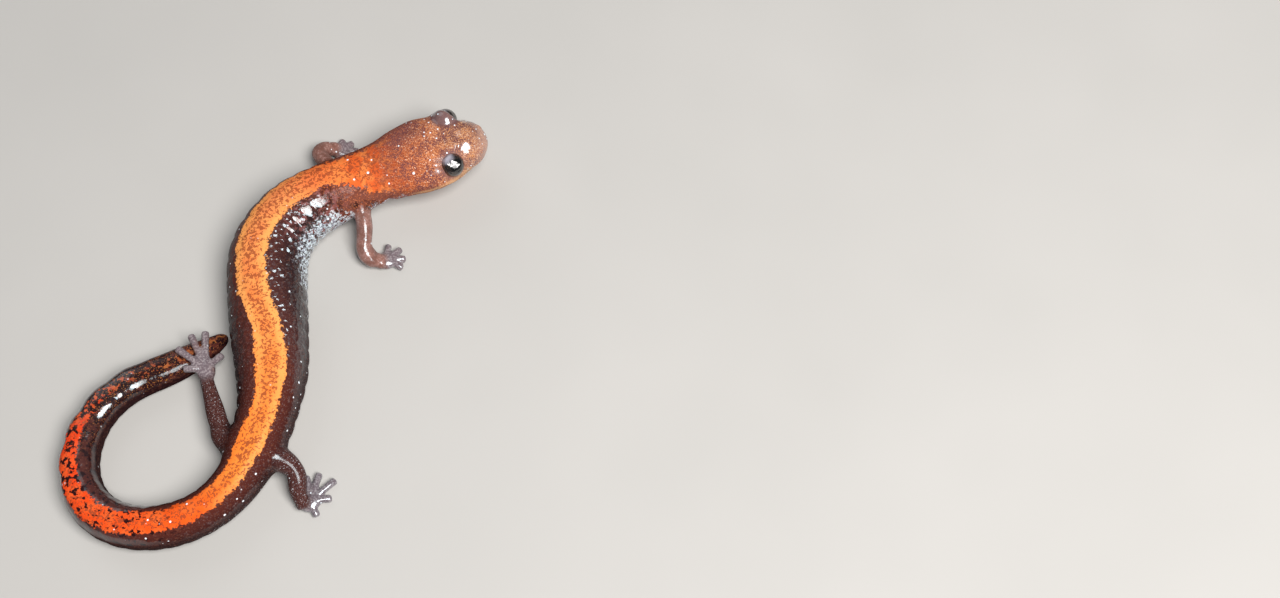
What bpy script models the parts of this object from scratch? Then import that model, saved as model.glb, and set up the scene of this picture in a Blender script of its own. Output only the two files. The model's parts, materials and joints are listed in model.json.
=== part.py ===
# A red-backed salamander, life size, lying in its S on a flat surface with its head raised.
# The animal's own sizes are in millimetres; the meshes are in metres, +Z up.
import bmesh
import bpy
import numpy as np
from mathutils import Matrix, Vector

collection_name = "red_backed_salamander"
mm = 0.001
gap = 0.3

# The middle of the footprint, in the frame in which the pose below is measured.
footprint_middle = (-31.33, -3.35)

# The spine runs from the snout to the tail's tip as bends: a length, then its turn to the left in degrees.
snout = (-13.85, 14.1)
snout_heading = -177.6
spine_bends = (
    (1.5, 9.5),
    (2.0, 7.3),
    (3.5, 1.5),
    (2.5, 0.4),
    (2.5, 1.8),
    (5.2, 11.3),
    (7.6, 62.7),
    (7.9, 2.6),
    (10.2, -33.6),
    (11.7, -79.8),
    (5.3, -53.5),
    (9.3, -70.4),
    (2.5, -20.1),
    (7.6, 24.9),
)
bend_ease = 3.0
body_length = sum(length for length, turn in spine_bends)
spine_step = 0.05

# Along the spine: distance from the snout, half width, height of the back, height of the underside.
# An underside below zero is cut flat at the floor.
body_profile = (
    (0.0, 1.76, 4.25, 2.45),
    (1.2, 2.07, 4.65, 2.35),
    (2.4, 2.64, 5.0, 2.2),
    (4.4, 3.37, 5.5, 2.0),
    (6.0, 3.57, 5.7, 1.85),
    (8.0, 3.22, 5.5, 1.65),
    (10.4, 2.84, 5.2, 1.25),
    (13.0, 2.71, 5.4, 0.55),
    (16.0, 2.96, 5.7, -0.1),
    (20.0, 3.26, 5.8, -0.25),
    (24.0, 3.49, 5.85, -0.25),
    (30.0, 3.35, 5.75, -0.25),
    (34.0, 3.08, 5.45, -0.22),
    (38.0, 2.52, 5.1, -0.15),
    (41.0, 2.33, 4.8, -0.05),
    (43.5, 1.97, 4.4, -0.12),
    (47.0, 1.78, 4.1, -0.18),
    (56.0, 1.76, 3.8, -0.18),
    (61.0, 1.58, 3.45, -0.16),
    (67.0, 1.44, 2.95, -0.14),
    (74.5, 1.33, 2.3, -0.1),
    (77.0, 1.0, 1.7, -0.08),
    (79.3, 0.45, 0.8, -0.04),
)
snout_round = 1.4
tail_round = 0.6
# The section is an oval with this exponent, squarer over the head, up to this distance from the snout.
head_fullness = 2.35
trunk_fullness = 2.15
head_end = 9.0

# The pieces of the body: name, where each starts along the spine, and how many sides its rings have.
body_pieces = (
    ("head", 0.0, 34),
    ("neck", 9.4, 26),
    ("trunk_front", 14.2, 24),
    ("trunk_middle", 22.6, 24),
    ("trunk_rear", 31.4, 24),
    ("tail_1", 44.6, 18),
    ("tail_2", 50.5, 18),
    ("tail_3", 55.5, 16),
    ("tail_4", 60.5, 16),
    ("tail_5", 66.5, 14),
    ("tail_6", 73.0, 14),
)

# The head's rings crowd together at the line of the mouth.
mouth_angle = 103.0
head_angles = (0, 12, 24, 36, 48, 58, 68, 78, 88, 97, 103, 109, 120, 132, 144, 156, 168, 180)
mouth = {"depth": 0.26, "half_width": 3.0, "start": 0.8, "corner": 5.9, "corner_ease": 0.6}
lip = {"height": 0.07, "from_mouth": 9.0, "half_width": 5.0}
throat_fold = {"place": 10.2, "depth": 0.2, "half_width": 0.3, "side_slope": 1.5, "side_start": 0.4}
costal = {"first": 15.6, "pitch": 1.4, "count": 18, "depth": 0.16, "half_width": 0.24, "flank_power": 1.5}

# Where the rings lie: shares of the rounded ends, steps, rings to a groove, and the least gap beside a cut.
snout_ring_shares = (0.03, 0.12, 0.28, 0.5, 0.75)
tip_ring_shares = (0.75, 0.45, 0.2, 0.06)
head_ring_step = 0.36
tail_ring_step = 0.62
rings_per_groove = 4
rings_past_grooves = 2
ring_margin = 0.15

# The places of the eyes differ a little, as in the photograph: 1 is the left and -1 the right.
eye = {"place": {1: 3.2, -1: 3.6}, "side": 2.25, "height": 4.7, "radius": 1.0}
eye_look = (0.3, 0.8, 0.5)
lids = {"height": 0.65, "spread": 1.45, "below": 2.0, "fade": 1.2}
socket_gap = 0.22
nostril = {"place": 0.62, "angle": 52.0, "radius": 0.2}

# Segments and rings of the balls.
eye_grid = (16, 12)
socket_grid = (20, 14)
nostril_grid = (8, 6)
pad_grid = (16, 10)

# The limbs, from inside the body out: root, mid upper limb, elbow or knee, mid lower limb, wrist or ankle.
# Then the heel and the front of the sole, and the tips of the toes.
limb_joints = {
    "front_right": (
        (-25.4, 9.0, 3.1),
        (-24.68, 6.3, 2.55),
        (-24.68, 4.35, 1.65),
        (-24.15, 3.55, 1.12),
        (-23.5, 3.45, 0.78),
    ),
    "front_left": (
        (-27.2, 10.3, 2.8),
        (-28.5, 12.3, 2.4),
        (-29.4, 13.7, 1.8),
        (-29.2, 14.6, 1.2),
        (-28.6, 14.9, 0.8),
    ),
    "hind_right": (
        (-32.0, -15.0, 2.5),
        (-29.8, -15.9, 2.4),
        (-28.75, -16.8, 2.1),
        (-28.55, -18.2, 1.5),
        (-28.25, -19.0, 0.95),
    ),
    "hind_left": (
        (-33.2, -15.2, 2.4),
        (-34.9, -13.9, 2.5),
        (-35.6, -12.5, 2.4),
        (-36.3, -10.7, 2.3),
        (-36.95, -9.0, 2.2),
    ),
}
soles = {
    "front_right": ((-23.65, 3.5, 0.44), (-22.0, 3.8, 0.36)),
    "front_left": ((-28.75, 15.0, 0.42), (-27.0, 14.9, 0.34)),
    "hind_right": ((-28.25, -19.6, 0.44), (-27.0, -18.0, 0.36)),
    "hind_left": ((-37.0, -8.8, 2.15), (-37.6, -6.4, 2.2)),
}
toe_tips = {
    "front_right": ((-22.8, 5.1, 0.22), (-21.7, 4.75, 0.22), (-21.25, 3.85, 0.22), (-21.45, 3.0, 0.22)),
    "front_left": ((-26.55, 14.15, 0.22), (-26.35, 14.95, 0.22), (-26.9, 15.75, 0.22), (-27.8, 16.0, 0.22)),
    "hind_right": (
        (-28.25, -16.65, 0.22), (-27.2, -16.4, 0.22), (-25.85, -16.95, 0.22),
        (-26.05, -18.5, 0.22), (-27.1, -19.95, 0.22),
    ),
    "hind_left": (
        (-36.3, -6.1, 1.6), (-37.85, -4.1, 1.9), (-38.95, -4.5, 2.15),
        (-39.75, -6.0, 2.85), (-39.0, -7.7, 2.6),
    ),
}
# Half width and half height of a limb at the five joints above, and of its sole.
limb_sizes = {
    "front": ((0.9, 0.95), (0.7, 0.72), (0.71, 0.66), (0.72, 0.6), (0.66, 0.46)),
    "hind": ((1.2, 1.25), (0.95, 1.0), (0.8, 0.8), (0.7, 0.66), (0.58, 0.48)),
}
sole_sizes = {"front": (0.84, 0.44), "hind": (0.82, 0.46)}
limb_sides = 12
rings_per_joint = 3
ankle_reach = 0.5
ankle_share = 0.98
toe = {
    "root_from_sole": 0.12,
    "root_radius": 0.31,
    "radius": 0.27,
    "tip_share": 0.6,
    "round_end": 0.15,
    "arch": 0.1,
    "sides": 8,
    "rings": 3,
}

# What the limbs are cut with: the body round each pair of roots, the end of the tail, and the floor.
limb_root = {"front": 14.2, "hind": 42.5}
root_cut = {"reach": 8.0, "sides": 30}
tail_cut = {"start": 70.0, "sides": 20}
floor_cut = {"side": 100.0, "depth": 4.0}

colours = {
    "head": ((0.30, 0.09, 0.035), 0.3),
    "neck": ((0.42, 0.10, 0.03), 0.3),
    "trunk": ((0.50, 0.13, 0.03), 0.3),
    "tail": ((0.45, 0.07, 0.02), 0.3),
    "leg": ((0.14, 0.055, 0.04), 0.3),
    "foot": ((0.20, 0.15, 0.15), 0.3),
    "eye": ((0.006, 0.005, 0.005), 0.05),
}


def smooth_through(places, values, at):
    """A curve through the values that never overshoots them."""
    places, values, at = np.array(places), np.array(values), np.asarray(at, float)
    widths = np.diff(places)
    slopes = np.diff(values) / widths
    tangents = np.zeros(len(values))
    tangents[0], tangents[-1] = slopes[0], slopes[-1]
    before, after = slopes[:-1], slopes[1:]
    same_way = before * after > 0
    total = np.where(same_way, before + after, 1.0)
    tangents[1:-1] = np.where(same_way, 2 * before * after / total, 0.0)
    left = np.clip(np.searchsorted(places, at, side="right") - 1, 0, len(widths) - 1)
    t = np.clip((at - places[left]) / widths[left], 0.0, 1.0)
    start = values[left] * (1 + 2 * t) * (1 - t) ** 2 + widths[left] * tangents[left] * t * (1 - t) ** 2
    end = values[left + 1] * t * t * (3 - 2 * t) + widths[left] * tangents[left + 1] * t * t * (t - 1)
    return start + end


def trace_spine():
    """Distances, headings in radians and floor positions along the spine, with its bends eased."""
    distances = np.arange(0.0, body_length + spine_step, spine_step)
    ends = np.cumsum([0.0] + [length for length, turn in spine_bends])
    turns = snout_heading + np.cumsum([0.0] + [turn for length, turn in spine_bends])
    reach = int(bend_ease / spine_step / 2)
    wide = np.arange(-reach, len(distances) + reach) * spine_step
    kernel = np.ones(2 * reach + 1) / (2 * reach + 1)
    headings = np.radians(np.convolve(np.interp(wide, ends, turns), kernel, mode="valid"))
    steps = np.stack([np.cos(headings), np.sin(headings)], axis=1) * spine_step
    middles = (steps[1:] + steps[:-1]) / 2
    corner = np.array(snout) - np.array(footprint_middle)
    positions = corner + np.vstack([[0.0, 0.0], np.cumsum(middles, axis=0)])
    return distances, headings, positions


spine_distances, spine_headings, spine_positions = trace_spine()


def spine_frame(place):
    """The floor position under the spine and the direction to the animal's left."""
    place = np.asarray(place, float)
    heading = np.interp(place, spine_distances, spine_headings)
    across, along = (np.interp(place, spine_distances, spine_positions[:, axis]) for axis in (0, 1))
    middle = np.stack([across, along], axis=-1)
    left = np.stack([np.sin(heading), -np.cos(heading)], axis=-1)
    return middle, left


def profile(place):
    """Half width, half height and middle height of the body, rounded off at both ends."""
    columns = np.array(body_profile).T
    half_width, back, under = (smooth_through(columns[0], column, place) for column in columns[1:])
    from_snout = np.clip(place / snout_round, 0.0, 1.0)
    from_tip = np.clip((body_length - place) / tail_round, 0.0, 1.0)
    round_off = np.sqrt(1 - (1 - from_snout) ** 2) * np.sqrt(1 - (1 - from_tip) ** 2)
    return half_width * round_off, (back - under) / 2 * round_off, (back + under) / 2


def bump(value, half_width):
    """A smooth bump of height one that is nearly gone at twice its half width."""
    return np.exp(-((value / half_width) ** 2))


def relief(place, angle):
    """How far the skin stands in from the plain section: mouth, lips, throat fold and costal grooves."""
    from_mouth = np.abs(np.where(angle > 180, 360 - angle, angle) - mouth_angle)
    along_mouth = np.clip((mouth["corner"] - place) / mouth["corner_ease"], 0.0, 1.0)
    along_mouth = along_mouth * np.clip(place / mouth["start"], 0.0, 1.0)
    inward = mouth["depth"] * along_mouth * bump(from_mouth, mouth["half_width"])
    inward -= lip["height"] * along_mouth * bump(from_mouth - lip["from_mouth"], lip["half_width"])
    downward = -np.cos(np.radians(angle))
    under = np.clip(downward * throat_fold["side_slope"] + throat_fold["side_start"], 0.0, 1.0)
    inward += throat_fold["depth"] * under * bump(place - throat_fold["place"], throat_fold["half_width"])
    nearest = np.clip(np.round((place - costal["first"]) / costal["pitch"]), 0, costal["count"] - 1)
    from_groove = place - costal["first"] - nearest * costal["pitch"]
    flank = np.abs(np.sin(np.radians(angle))) ** costal["flank_power"]
    return inward + costal["depth"] * flank * bump(from_groove, costal["half_width"])


def body_points(place, angle, grow=0.0):
    """Points on the skin, by distance from the snout and angle leftwards from the midline of the back."""
    half_width, half_height, middle_height = profile(place)
    inward = relief(place, angle) - grow
    fullness = np.where(place < head_end, head_fullness, trunk_fullness)
    across, upward = np.sin(np.radians(angle)), np.cos(np.radians(angle))
    across = np.sign(across) * np.abs(across) ** (2 / fullness)
    upward = np.sign(upward) * np.abs(upward) ** (2 / fullness)
    sideways = np.maximum(half_width - inward, 0.0) * across
    height = middle_height + np.maximum(half_height - inward, 0.0) * upward
    middle, left = spine_frame(place)
    flat = middle + left * sideways[..., None]
    return np.concatenate([flat, np.maximum(height, -grow)[..., None]], axis=-1)


def eye_centre(side):
    """Centre of an eyeball; side is 1 for the left and -1 for the right."""
    middle, left = spine_frame(eye["place"][side])
    flat = middle + left * side * eye["side"]
    return np.array([flat[0], flat[1], eye["height"]])


def eye_direction(side):
    """The way an eye looks: forwards, outwards and a little up."""
    middle, left = spine_frame(eye["place"][side])
    forward = np.array([left[1], -left[0]])
    flat = forward * eye_look[0] + left * side * eye_look[1]
    direction = np.array([flat[0], flat[1], eye_look[2]])
    return direction / np.linalg.norm(direction)


def raise_lids(points):
    """Raise the skin of the head round each eyeball, as the lids lie."""
    for side in (1, -1):
        outward = eye_direction(side)
        offset = points - eye_centre(side)
        height = offset @ outward
        aside = np.linalg.norm(offset - height[..., None] * outward, axis=-1)
        near = np.clip((height + lids["below"]) / lids["fade"], 0.0, 1.0)
        raised = lids["height"] * near * np.exp(-((aside / lids["spread"]) ** 4))
        points = points + raised[..., None] * outward
    return points


def mesh_object(name, vertices, faces):
    """A new object in the part's collection from points in millimetres."""
    mesh = bpy.data.meshes.new(name)
    mesh.from_pydata([tuple(v) for v in np.asarray(vertices) * mm], [], faces)
    work = bmesh.new()
    work.from_mesh(mesh)
    bmesh.ops.recalc_face_normals(work, faces=work.faces)
    bmesh.ops.triangulate(work, faces=work.faces)
    work.to_mesh(mesh)
    work.free()
    made = bpy.data.objects.new(name, mesh)
    bpy.data.collections[collection_name].objects.link(made)
    return made


def loft(name, rings, start_point=None, end_point=None):
    """Skin a stack of rings and close each end with a fan to the given point or to the ring's middle."""
    count, sides = rings.shape[:2]
    start = rings[0].mean(axis=0) if start_point is None else start_point
    end = rings[-1].mean(axis=0) if end_point is None else end_point
    vertices = np.vstack([rings.reshape(-1, 3), start, end])
    faces = []
    for ring in range(count - 1):
        for side in range(sides):
            after = (side + 1) % sides
            low, high = ring * sides, (ring + 1) * sides
            faces.append((low + side, low + after, high + after, high + side))
    for side in range(sides):
        after = (side + 1) % sides
        faces.append((side, after, count * sides))
        faces.append(((count - 1) * sides + side, (count - 1) * sides + after, count * sides + 1))
    return mesh_object(name, vertices, faces)


def ring_places(start, end):
    """Where the rings lie between two cuts: close at the snout, four to a groove, wider on the tail."""
    head = snout_round * np.array(snout_ring_shares)
    crown = np.arange(snout_round, costal["first"] - costal["pitch"], head_ring_step)
    counts = np.arange(-rings_past_grooves, rings_per_groove * costal["count"] + rings_past_grooves)
    grooves = costal["first"] + costal["pitch"] * counts / rings_per_groove
    tail = np.arange(grooves[-1] + tail_ring_step, body_length - tail_round, tail_ring_step)
    tip = body_length - tail_round * np.array(tip_ring_shares)
    places = np.concatenate([head, crown, grooves, tail, tip])
    inside = places[(places > start + ring_margin) & (places < end - ring_margin)]
    first = [] if start <= 0 else [start]
    final = [] if end >= body_length else [end]
    if start <= 0:
        inside = np.concatenate([head[:1], inside[inside > head[0]]])
    return np.unique(np.concatenate([first, inside, final]))


def body_piece(name, start, end, angles, grow=0.0):
    """One length of the body, with a flat cut at each end that isn't the snout or the tail's tip."""
    places = ring_places(start, end)
    rings = body_points(places[:, None], np.asarray(angles, float)[None, :], grow)
    if name == "head":
        rings = raise_lids(rings)
    tips = body_points(np.array([0.0, body_length]), np.zeros(2))
    return loft(name, rings, tips[0] if start <= 0 else None, tips[1] if end >= body_length else None)


def even_angles(sides):
    return np.arange(sides) * 360.0 / sides


def smooth_path(joints, per_joint):
    """Points on a smooth curve through the joints, and how far along the joints each lies."""
    joints = np.array(joints)
    padded = np.vstack([2 * joints[0] - joints[1], joints, 2 * joints[-1] - joints[-2]])
    along = np.linspace(0, len(joints) - 1, (len(joints) - 1) * per_joint + 1)
    left = np.minimum(along.astype(int), len(joints) - 2)
    t = (along - left)[:, None]
    a, b, c, d = (padded[left + i] for i in range(4))
    points = b + 0.5 * t * (c - a + t * (2 * a - 5 * b + 4 * c - d + t * (3 * (b - c) + d - a)))
    return points, along


def tube_rings(path, half_widths, half_heights, sides):
    """Oval rings square to a path, their width level with the floor."""
    forward = np.gradient(path, axis=0)
    forward /= np.linalg.norm(forward, axis=1, keepdims=True)
    sideways = np.cross(forward, [0.0, 0.0, 1.0])
    sideways /= np.linalg.norm(sideways, axis=1, keepdims=True)
    upward = np.cross(sideways, forward)
    turn = np.arange(sides) * 2 * np.pi / sides
    wide = sideways[:, None, :] * np.cos(turn)[None, :, None] * np.asarray(half_widths)[:, None, None]
    high = upward[:, None, :] * np.sin(turn)[None, :, None] * np.asarray(half_heights)[:, None, None]
    return path[:, None, :] + wide + high


def apply_boolean(target, operation, others):
    """Join or cut the target with the other objects, then keep its largest closed surface."""
    tools = bpy.data.collections.new("tools")
    bpy.context.scene.collection.children.link(tools)
    for other in others:
        for owner in other.users_collection:
            owner.objects.unlink(other)
        tools.objects.link(other)
    cut = target.modifiers.new("cut", "BOOLEAN")
    cut.operation = operation
    cut.operand_type = "COLLECTION"
    cut.collection = tools
    cut.solver = "EXACT"
    bpy.context.view_layer.update()
    evaluated = target.evaluated_get(bpy.context.evaluated_depsgraph_get())
    made = bpy.data.meshes.new_from_object(evaluated)
    target.modifiers.remove(cut)
    target.data = made
    for other in list(tools.objects):
        bpy.data.objects.remove(other)
    bpy.data.collections.remove(tools)
    keep_largest(target)


def keep_largest(target):
    """Drop every loose surface but the one that reaches furthest."""
    work = bmesh.new()
    work.from_mesh(target.data)
    bmesh.ops.triangulate(work, faces=work.faces)
    unseen = set(work.verts)
    islands = []
    while unseen:
        front = [unseen.pop()]
        island = list(front)
        while front:
            vertex = front.pop()
            near = {edge.other_vert(vertex) for edge in vertex.link_edges} & unseen
            unseen -= near
            front.extend(near)
            island.extend(near)
        islands.append(island)
    reach = [np.ptp([vertex.co for vertex in island], axis=0).sum() for island in islands]
    kept = islands[int(np.argmax(reach))]
    loose = [vertex for island in islands if island is not kept for vertex in island]
    bmesh.ops.delete(work, geom=loose, context="VERTS")
    work.to_mesh(target.data)
    work.free()


def sphere(name, centre, radius, grid):
    """A ball at a point given in millimetres."""
    mesh = bpy.data.meshes.new(name)
    work = bmesh.new()
    place = Matrix.Translation(Vector(centre) * mm)
    bmesh.ops.create_uvsphere(work, u_segments=grid[0], v_segments=grid[1], radius=radius * mm, matrix=place)
    work.to_mesh(mesh)
    work.free()
    made = bpy.data.objects.new(name, mesh)
    bpy.data.collections[collection_name].objects.link(made)
    return made


def floor_block():
    """A block whose top is the floor, to cut the soles flat."""
    mesh = bpy.data.meshes.new("floor_cut")
    work = bmesh.new()
    side, depth = floor_cut["side"] * mm, floor_cut["depth"] * mm
    bmesh.ops.create_cube(work, size=1.0, matrix=Matrix.Diagonal((side, side, depth, 1.0)))
    bmesh.ops.translate(work, verts=work.verts, vec=(0.0, 0.0, -depth / 2))
    work.to_mesh(mesh)
    work.free()
    made = bpy.data.objects.new("floor_cut", mesh)
    bpy.data.collections[collection_name].objects.link(made)
    return made


def build_body():
    """Head, neck, trunk and tail as lengths of one surface, parted by thin flat cuts."""
    starts = [start for name, start, sides in body_pieces] + [body_length + gap / 2]
    for index, (name, start, sides) in enumerate(body_pieces):
        angles = even_angles(sides)
        if name == "head":
            angles = [*head_angles[:-1], *(360 - angle for angle in reversed(head_angles[1:]))]
        body_piece(name, start + gap / 2 if start else 0.0, starts[index + 1] - gap / 2, angles)


def cut_eye_sockets():
    """Hollow the head for both eyeballs and sink the nostrils."""
    cutters = []
    for side in (1, -1):
        centre = eye_centre(side)
        cutters.append(sphere("socket", centre, eye["radius"] + socket_gap, socket_grid))
        nostril_angle = np.array([nostril["angle"] * side % 360])
        centre = body_points(np.array([nostril["place"]]), nostril_angle)[0]
        cutters.append(sphere("nostril", centre, nostril["radius"], nostril_grid))
    apply_boolean(bpy.data.objects["head"], "DIFFERENCE", cutters)


def build_eyes():
    for side, word in ((1, "left"), (-1, "right")):
        sphere(f"eye_{word}", eye_centre(side), eye["radius"], eye_grid)


def from_middle(points):
    """Points of the pose, measured from the middle of the footprint."""
    return np.array(points) - np.array([*footprint_middle, 0.0])


def limb_path(limb):
    """The limb's path down to its wrist or ankle, with its half widths and half heights."""
    path, along = smooth_path(from_middle(limb_joints[limb]), rings_per_joint)
    sizes = limb_sizes[limb.split("_")[0]]
    wide, high = (smooth_through(range(len(sizes)), [size[i] for size in sizes], along) for i in (0, 1))
    direction = path[-1] - path[-2]
    return path, wide, high, direction / np.linalg.norm(direction)


def build_leg(limb):
    """The limb down to the wrist or ankle, its root shaped to the body's side."""
    path, wide, high, direction = limb_path(limb)
    path[-1] -= direction * gap / 2
    part, side = limb.split("_")
    leg = loft(f"{part}_leg_{side}", tube_rings(path, wide, high, limb_sides))
    start, end = limb_root[part] - root_cut["reach"], limb_root[part] + root_cut["reach"]
    body = body_piece("body_cut", start, end, even_angles(root_cut["sides"]), gap)
    apply_boolean(leg, "DIFFERENCE", [body])


def sole_pad(limb):
    """The flat pad of the sole, from heel to front."""
    heel, front = from_middle(soles[limb])
    half_width, half_height = sole_sizes[limb.split("_")[0]]
    pad = sphere("pad", (0.0, 0.0, 0.0), 1.0, pad_grid)
    along = Vector(front - heel)
    turn = along.to_track_quat("X", "Z").to_matrix().to_4x4()
    stretch = Matrix.Diagonal((along.length / 2, half_width, half_height, 1.0))
    pad.data.transform(Matrix.Translation(Vector((heel + front) / 2) * mm) @ turn @ stretch)
    return pad


def toe_tube(root, tip):
    """A toe, a little arched, with a round end."""
    knuckle = (root + tip) / 2 + [0.0, 0.0, toe["arch"]]
    path, along = smooth_path((root, knuckle, tip), toe["rings"])
    radii = toe["root_radius"] + (toe["radius"] - toe["root_radius"]) * along / 2
    radii[-1] *= toe["tip_share"]
    last = path[-1] - path[-2]
    end = tip + last / np.linalg.norm(last) * toe["round_end"]
    return loft("toe", tube_rings(path, radii, radii, toe["sides"]), None, end)


def build_foot(limb):
    """Ankle, sole and toes joined, cut flat at the floor or clear of the tail that the foot lies over."""
    path, wide, high, direction = limb_path(limb)
    start = path[-1] + direction * gap / 2
    ankle = np.array([start, start + direction * ankle_reach])
    part, side = limb.split("_")
    rings = tube_rings(ankle, wide[-2:] * ankle_share, high[-2:] * ankle_share, limb_sides)
    foot = loft(f"{part}_foot_{side}", rings)
    middle = from_middle(soles[limb]).mean(axis=0)
    tips = from_middle(toe_tips[limb])
    toes = [toe_tube(middle + (tip - middle) * toe["root_from_sole"], tip) for tip in tips]
    apply_boolean(foot, "UNION", [sole_pad(limb), *toes])
    if limb == "hind_left":
        below = body_piece("tail_cut", tail_cut["start"], body_length, even_angles(tail_cut["sides"]), gap)
    else:
        below = floor_block()
    apply_boolean(foot, "DIFFERENCE", [below])


def paint():
    """Give each piece its own material in the animal's colours."""
    for piece in bpy.data.collections[collection_name].objects:
        part = next((word for word in colours if word in piece.name), "head")
        colour, roughness = colours[part]
        material = bpy.data.materials.new(piece.name)
        material.use_nodes = True
        shader = material.node_tree.nodes["Principled BSDF"]
        shader.inputs["Base Color"].default_value = (*colour, 1.0)
        shader.inputs["Roughness"].default_value = roughness
        shader.inputs["Metallic"].default_value = 0.0
        piece.data.materials.clear()
        piece.data.materials.append(material)


def main():
    for old in list(bpy.data.objects):
        bpy.data.objects.remove(old)
    bpy.context.scene.collection.children.link(bpy.data.collections.new(collection_name))
    build_body()
    cut_eye_sockets()
    build_eyes()
    for limb in limb_joints:
        build_leg(limb)
        build_foot(limb)
    paint()


main()
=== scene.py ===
import json

import bmesh
import bpy
import numpy as np
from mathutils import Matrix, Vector

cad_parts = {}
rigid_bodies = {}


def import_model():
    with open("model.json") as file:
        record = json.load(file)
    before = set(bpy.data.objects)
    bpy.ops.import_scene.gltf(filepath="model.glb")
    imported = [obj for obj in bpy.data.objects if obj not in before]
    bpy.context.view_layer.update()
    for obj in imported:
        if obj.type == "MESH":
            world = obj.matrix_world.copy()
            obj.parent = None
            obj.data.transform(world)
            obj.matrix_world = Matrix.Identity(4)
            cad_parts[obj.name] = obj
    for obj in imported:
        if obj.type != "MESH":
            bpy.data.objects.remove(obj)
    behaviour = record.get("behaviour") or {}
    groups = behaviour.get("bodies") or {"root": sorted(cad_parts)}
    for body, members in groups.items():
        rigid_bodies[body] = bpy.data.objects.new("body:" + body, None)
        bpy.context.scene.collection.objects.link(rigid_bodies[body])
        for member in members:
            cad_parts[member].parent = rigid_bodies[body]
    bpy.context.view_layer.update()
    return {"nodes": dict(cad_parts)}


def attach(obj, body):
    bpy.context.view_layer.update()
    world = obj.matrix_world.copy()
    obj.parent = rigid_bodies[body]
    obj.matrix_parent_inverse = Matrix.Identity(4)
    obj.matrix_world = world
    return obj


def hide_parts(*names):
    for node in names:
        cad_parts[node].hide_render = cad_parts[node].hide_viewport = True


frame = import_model()
mm = 0.001
print("frame loaded")

# Camera, lights and floor

viewPoint = {
    "place": (31.33, -51.15, 122.41), "tilt": 24.0, "lens": 42.19, "sensor": 36.0,
    "near": 5.0, "far": 10000.0,
}
lamps = {
    "key": {
        "from": (0.41, -0.31, 0.86), "away": 0.34, "size": (0.16, 0.22),
        "watts": 1.7, "colour": (1, 0.98, 0.96),
    },
    "far": {
        "from": (-0.45, 0.60, 0.66), "away": 0.40, "size": (0.3, 0.3),
        "watts": 0.2, "colour": (0.95, 0.98, 1),
    },
}
room = {"colour": (0.80, 0.84, 0.90), "strength": 0.12}
floorSizes = {"reach": 1200.0, "down": 0.02, "colour": (0.47, 0.46, 0.44), "pale": (0.64, 0.62, 0.60)}


def makeCamera():
    data = bpy.data.cameras.new("camera")
    data.lens, data.sensor_width = viewPoint["lens"], viewPoint["sensor"]
    data.clip_start, data.clip_end = viewPoint["near"] * mm, viewPoint["far"] * mm
    camera = bpy.data.objects.new("camera", data)
    camera.location = Vector(viewPoint["place"]) * mm
    camera.rotation_euler = (np.radians(viewPoint["tilt"]), 0.0, 0.0)
    bpy.context.scene.collection.objects.link(camera)
    bpy.context.scene.camera = camera


def makeLamps():
    # Each lamp is a soft oval that faces the middle of the part.
    for name, lamp in lamps.items():
        data = bpy.data.lights.new(name, "AREA")
        data.shape, data.energy, data.color = "ELLIPSE", lamp["watts"], lamp["colour"]
        data.size, data.size_y = lamp["size"]
        made = bpy.data.objects.new(name, data)
        away = Vector(lamp["from"]).normalized()
        made.location = away * lamp["away"]
        made.rotation_euler = away.to_track_quat("Z", "Y").to_euler()
        bpy.context.scene.collection.objects.link(made)
    world = bpy.data.worlds.new("room")
    world.use_nodes = True
    back = world.node_tree.nodes["Background"]
    back.inputs["Color"].default_value = (*room["colour"], 1.0)
    back.inputs["Strength"].default_value = room["strength"]
    bpy.context.scene.world = world
    bpy.context.scene.view_settings.view_transform = "Standard"


makeCamera()
makeLamps()

# Numbers that several shapes use


def smoothStep(low, high, value):
    # 0 below low and 1 above high, with a cubic ease between.
    t = np.clip((value - low) / (high - low), 0.0, 1.0)
    return t * t * (3 - 2 * t)


def within(value, start, full, last, end):
    # 0 outside start and end, 1 from full to last, eased between.
    return smoothStep(start, full, value) * smoothStep(end, last, value)


def bump(value, halfWidth):
    # A bell of height one: e to the minus (value / halfWidth) squared.
    return np.exp(-((value / halfWidth) ** 2))


def unit(vectors):
    return vectors / np.linalg.norm(vectors, axis=-1, keepdims=True)


def squareTo(forward):
    # The level and the upward unit vector at right angles to a direction.
    sideways = unit(np.cross(forward, [0.0, 0.0, 1.0]))
    return sideways, np.cross(sideways, forward)


def anglesFrom(points, way):
    # The angle in degrees between each point, seen from the origin, and a direction.
    return np.degrees(np.arccos(np.clip(unit(points) @ unit(np.array(way)), -1, 1)))


def fullTurn(sides):
    return np.arange(sides) * 2 * np.pi / sides


def curveThrough(places, values, at):
    # A cubic through the values whose slopes are harmonic means, so that it never overshoots them.
    places, values, at = np.array(places, float), np.array(values, float), np.asarray(at, float)
    widths = np.diff(places)
    slopes = np.diff(values) / widths
    tangents = np.zeros(len(values))
    tangents[0], tangents[-1] = slopes[0], slopes[-1]
    before, after = slopes[:-1], slopes[1:]
    sameWay = before * after > 0
    tangents[1:-1] = np.where(sameWay, 2 * before * after / np.where(sameWay, before + after, 1.0), 0.0)
    left = np.clip(np.searchsorted(places, at, side="right") - 1, 0, len(widths) - 1)
    t = np.clip((at - places[left]) / widths[left], 0.0, 1.0)
    start = values[left] * (1 + 2 * t) * (1 - t) ** 2 + widths[left] * tangents[left] * t * (1 - t) ** 2
    end = values[left + 1] * t * t * (3 - 2 * t) + widths[left] * tangents[left + 1] * t * t * (t - 1)
    return start + end


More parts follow.
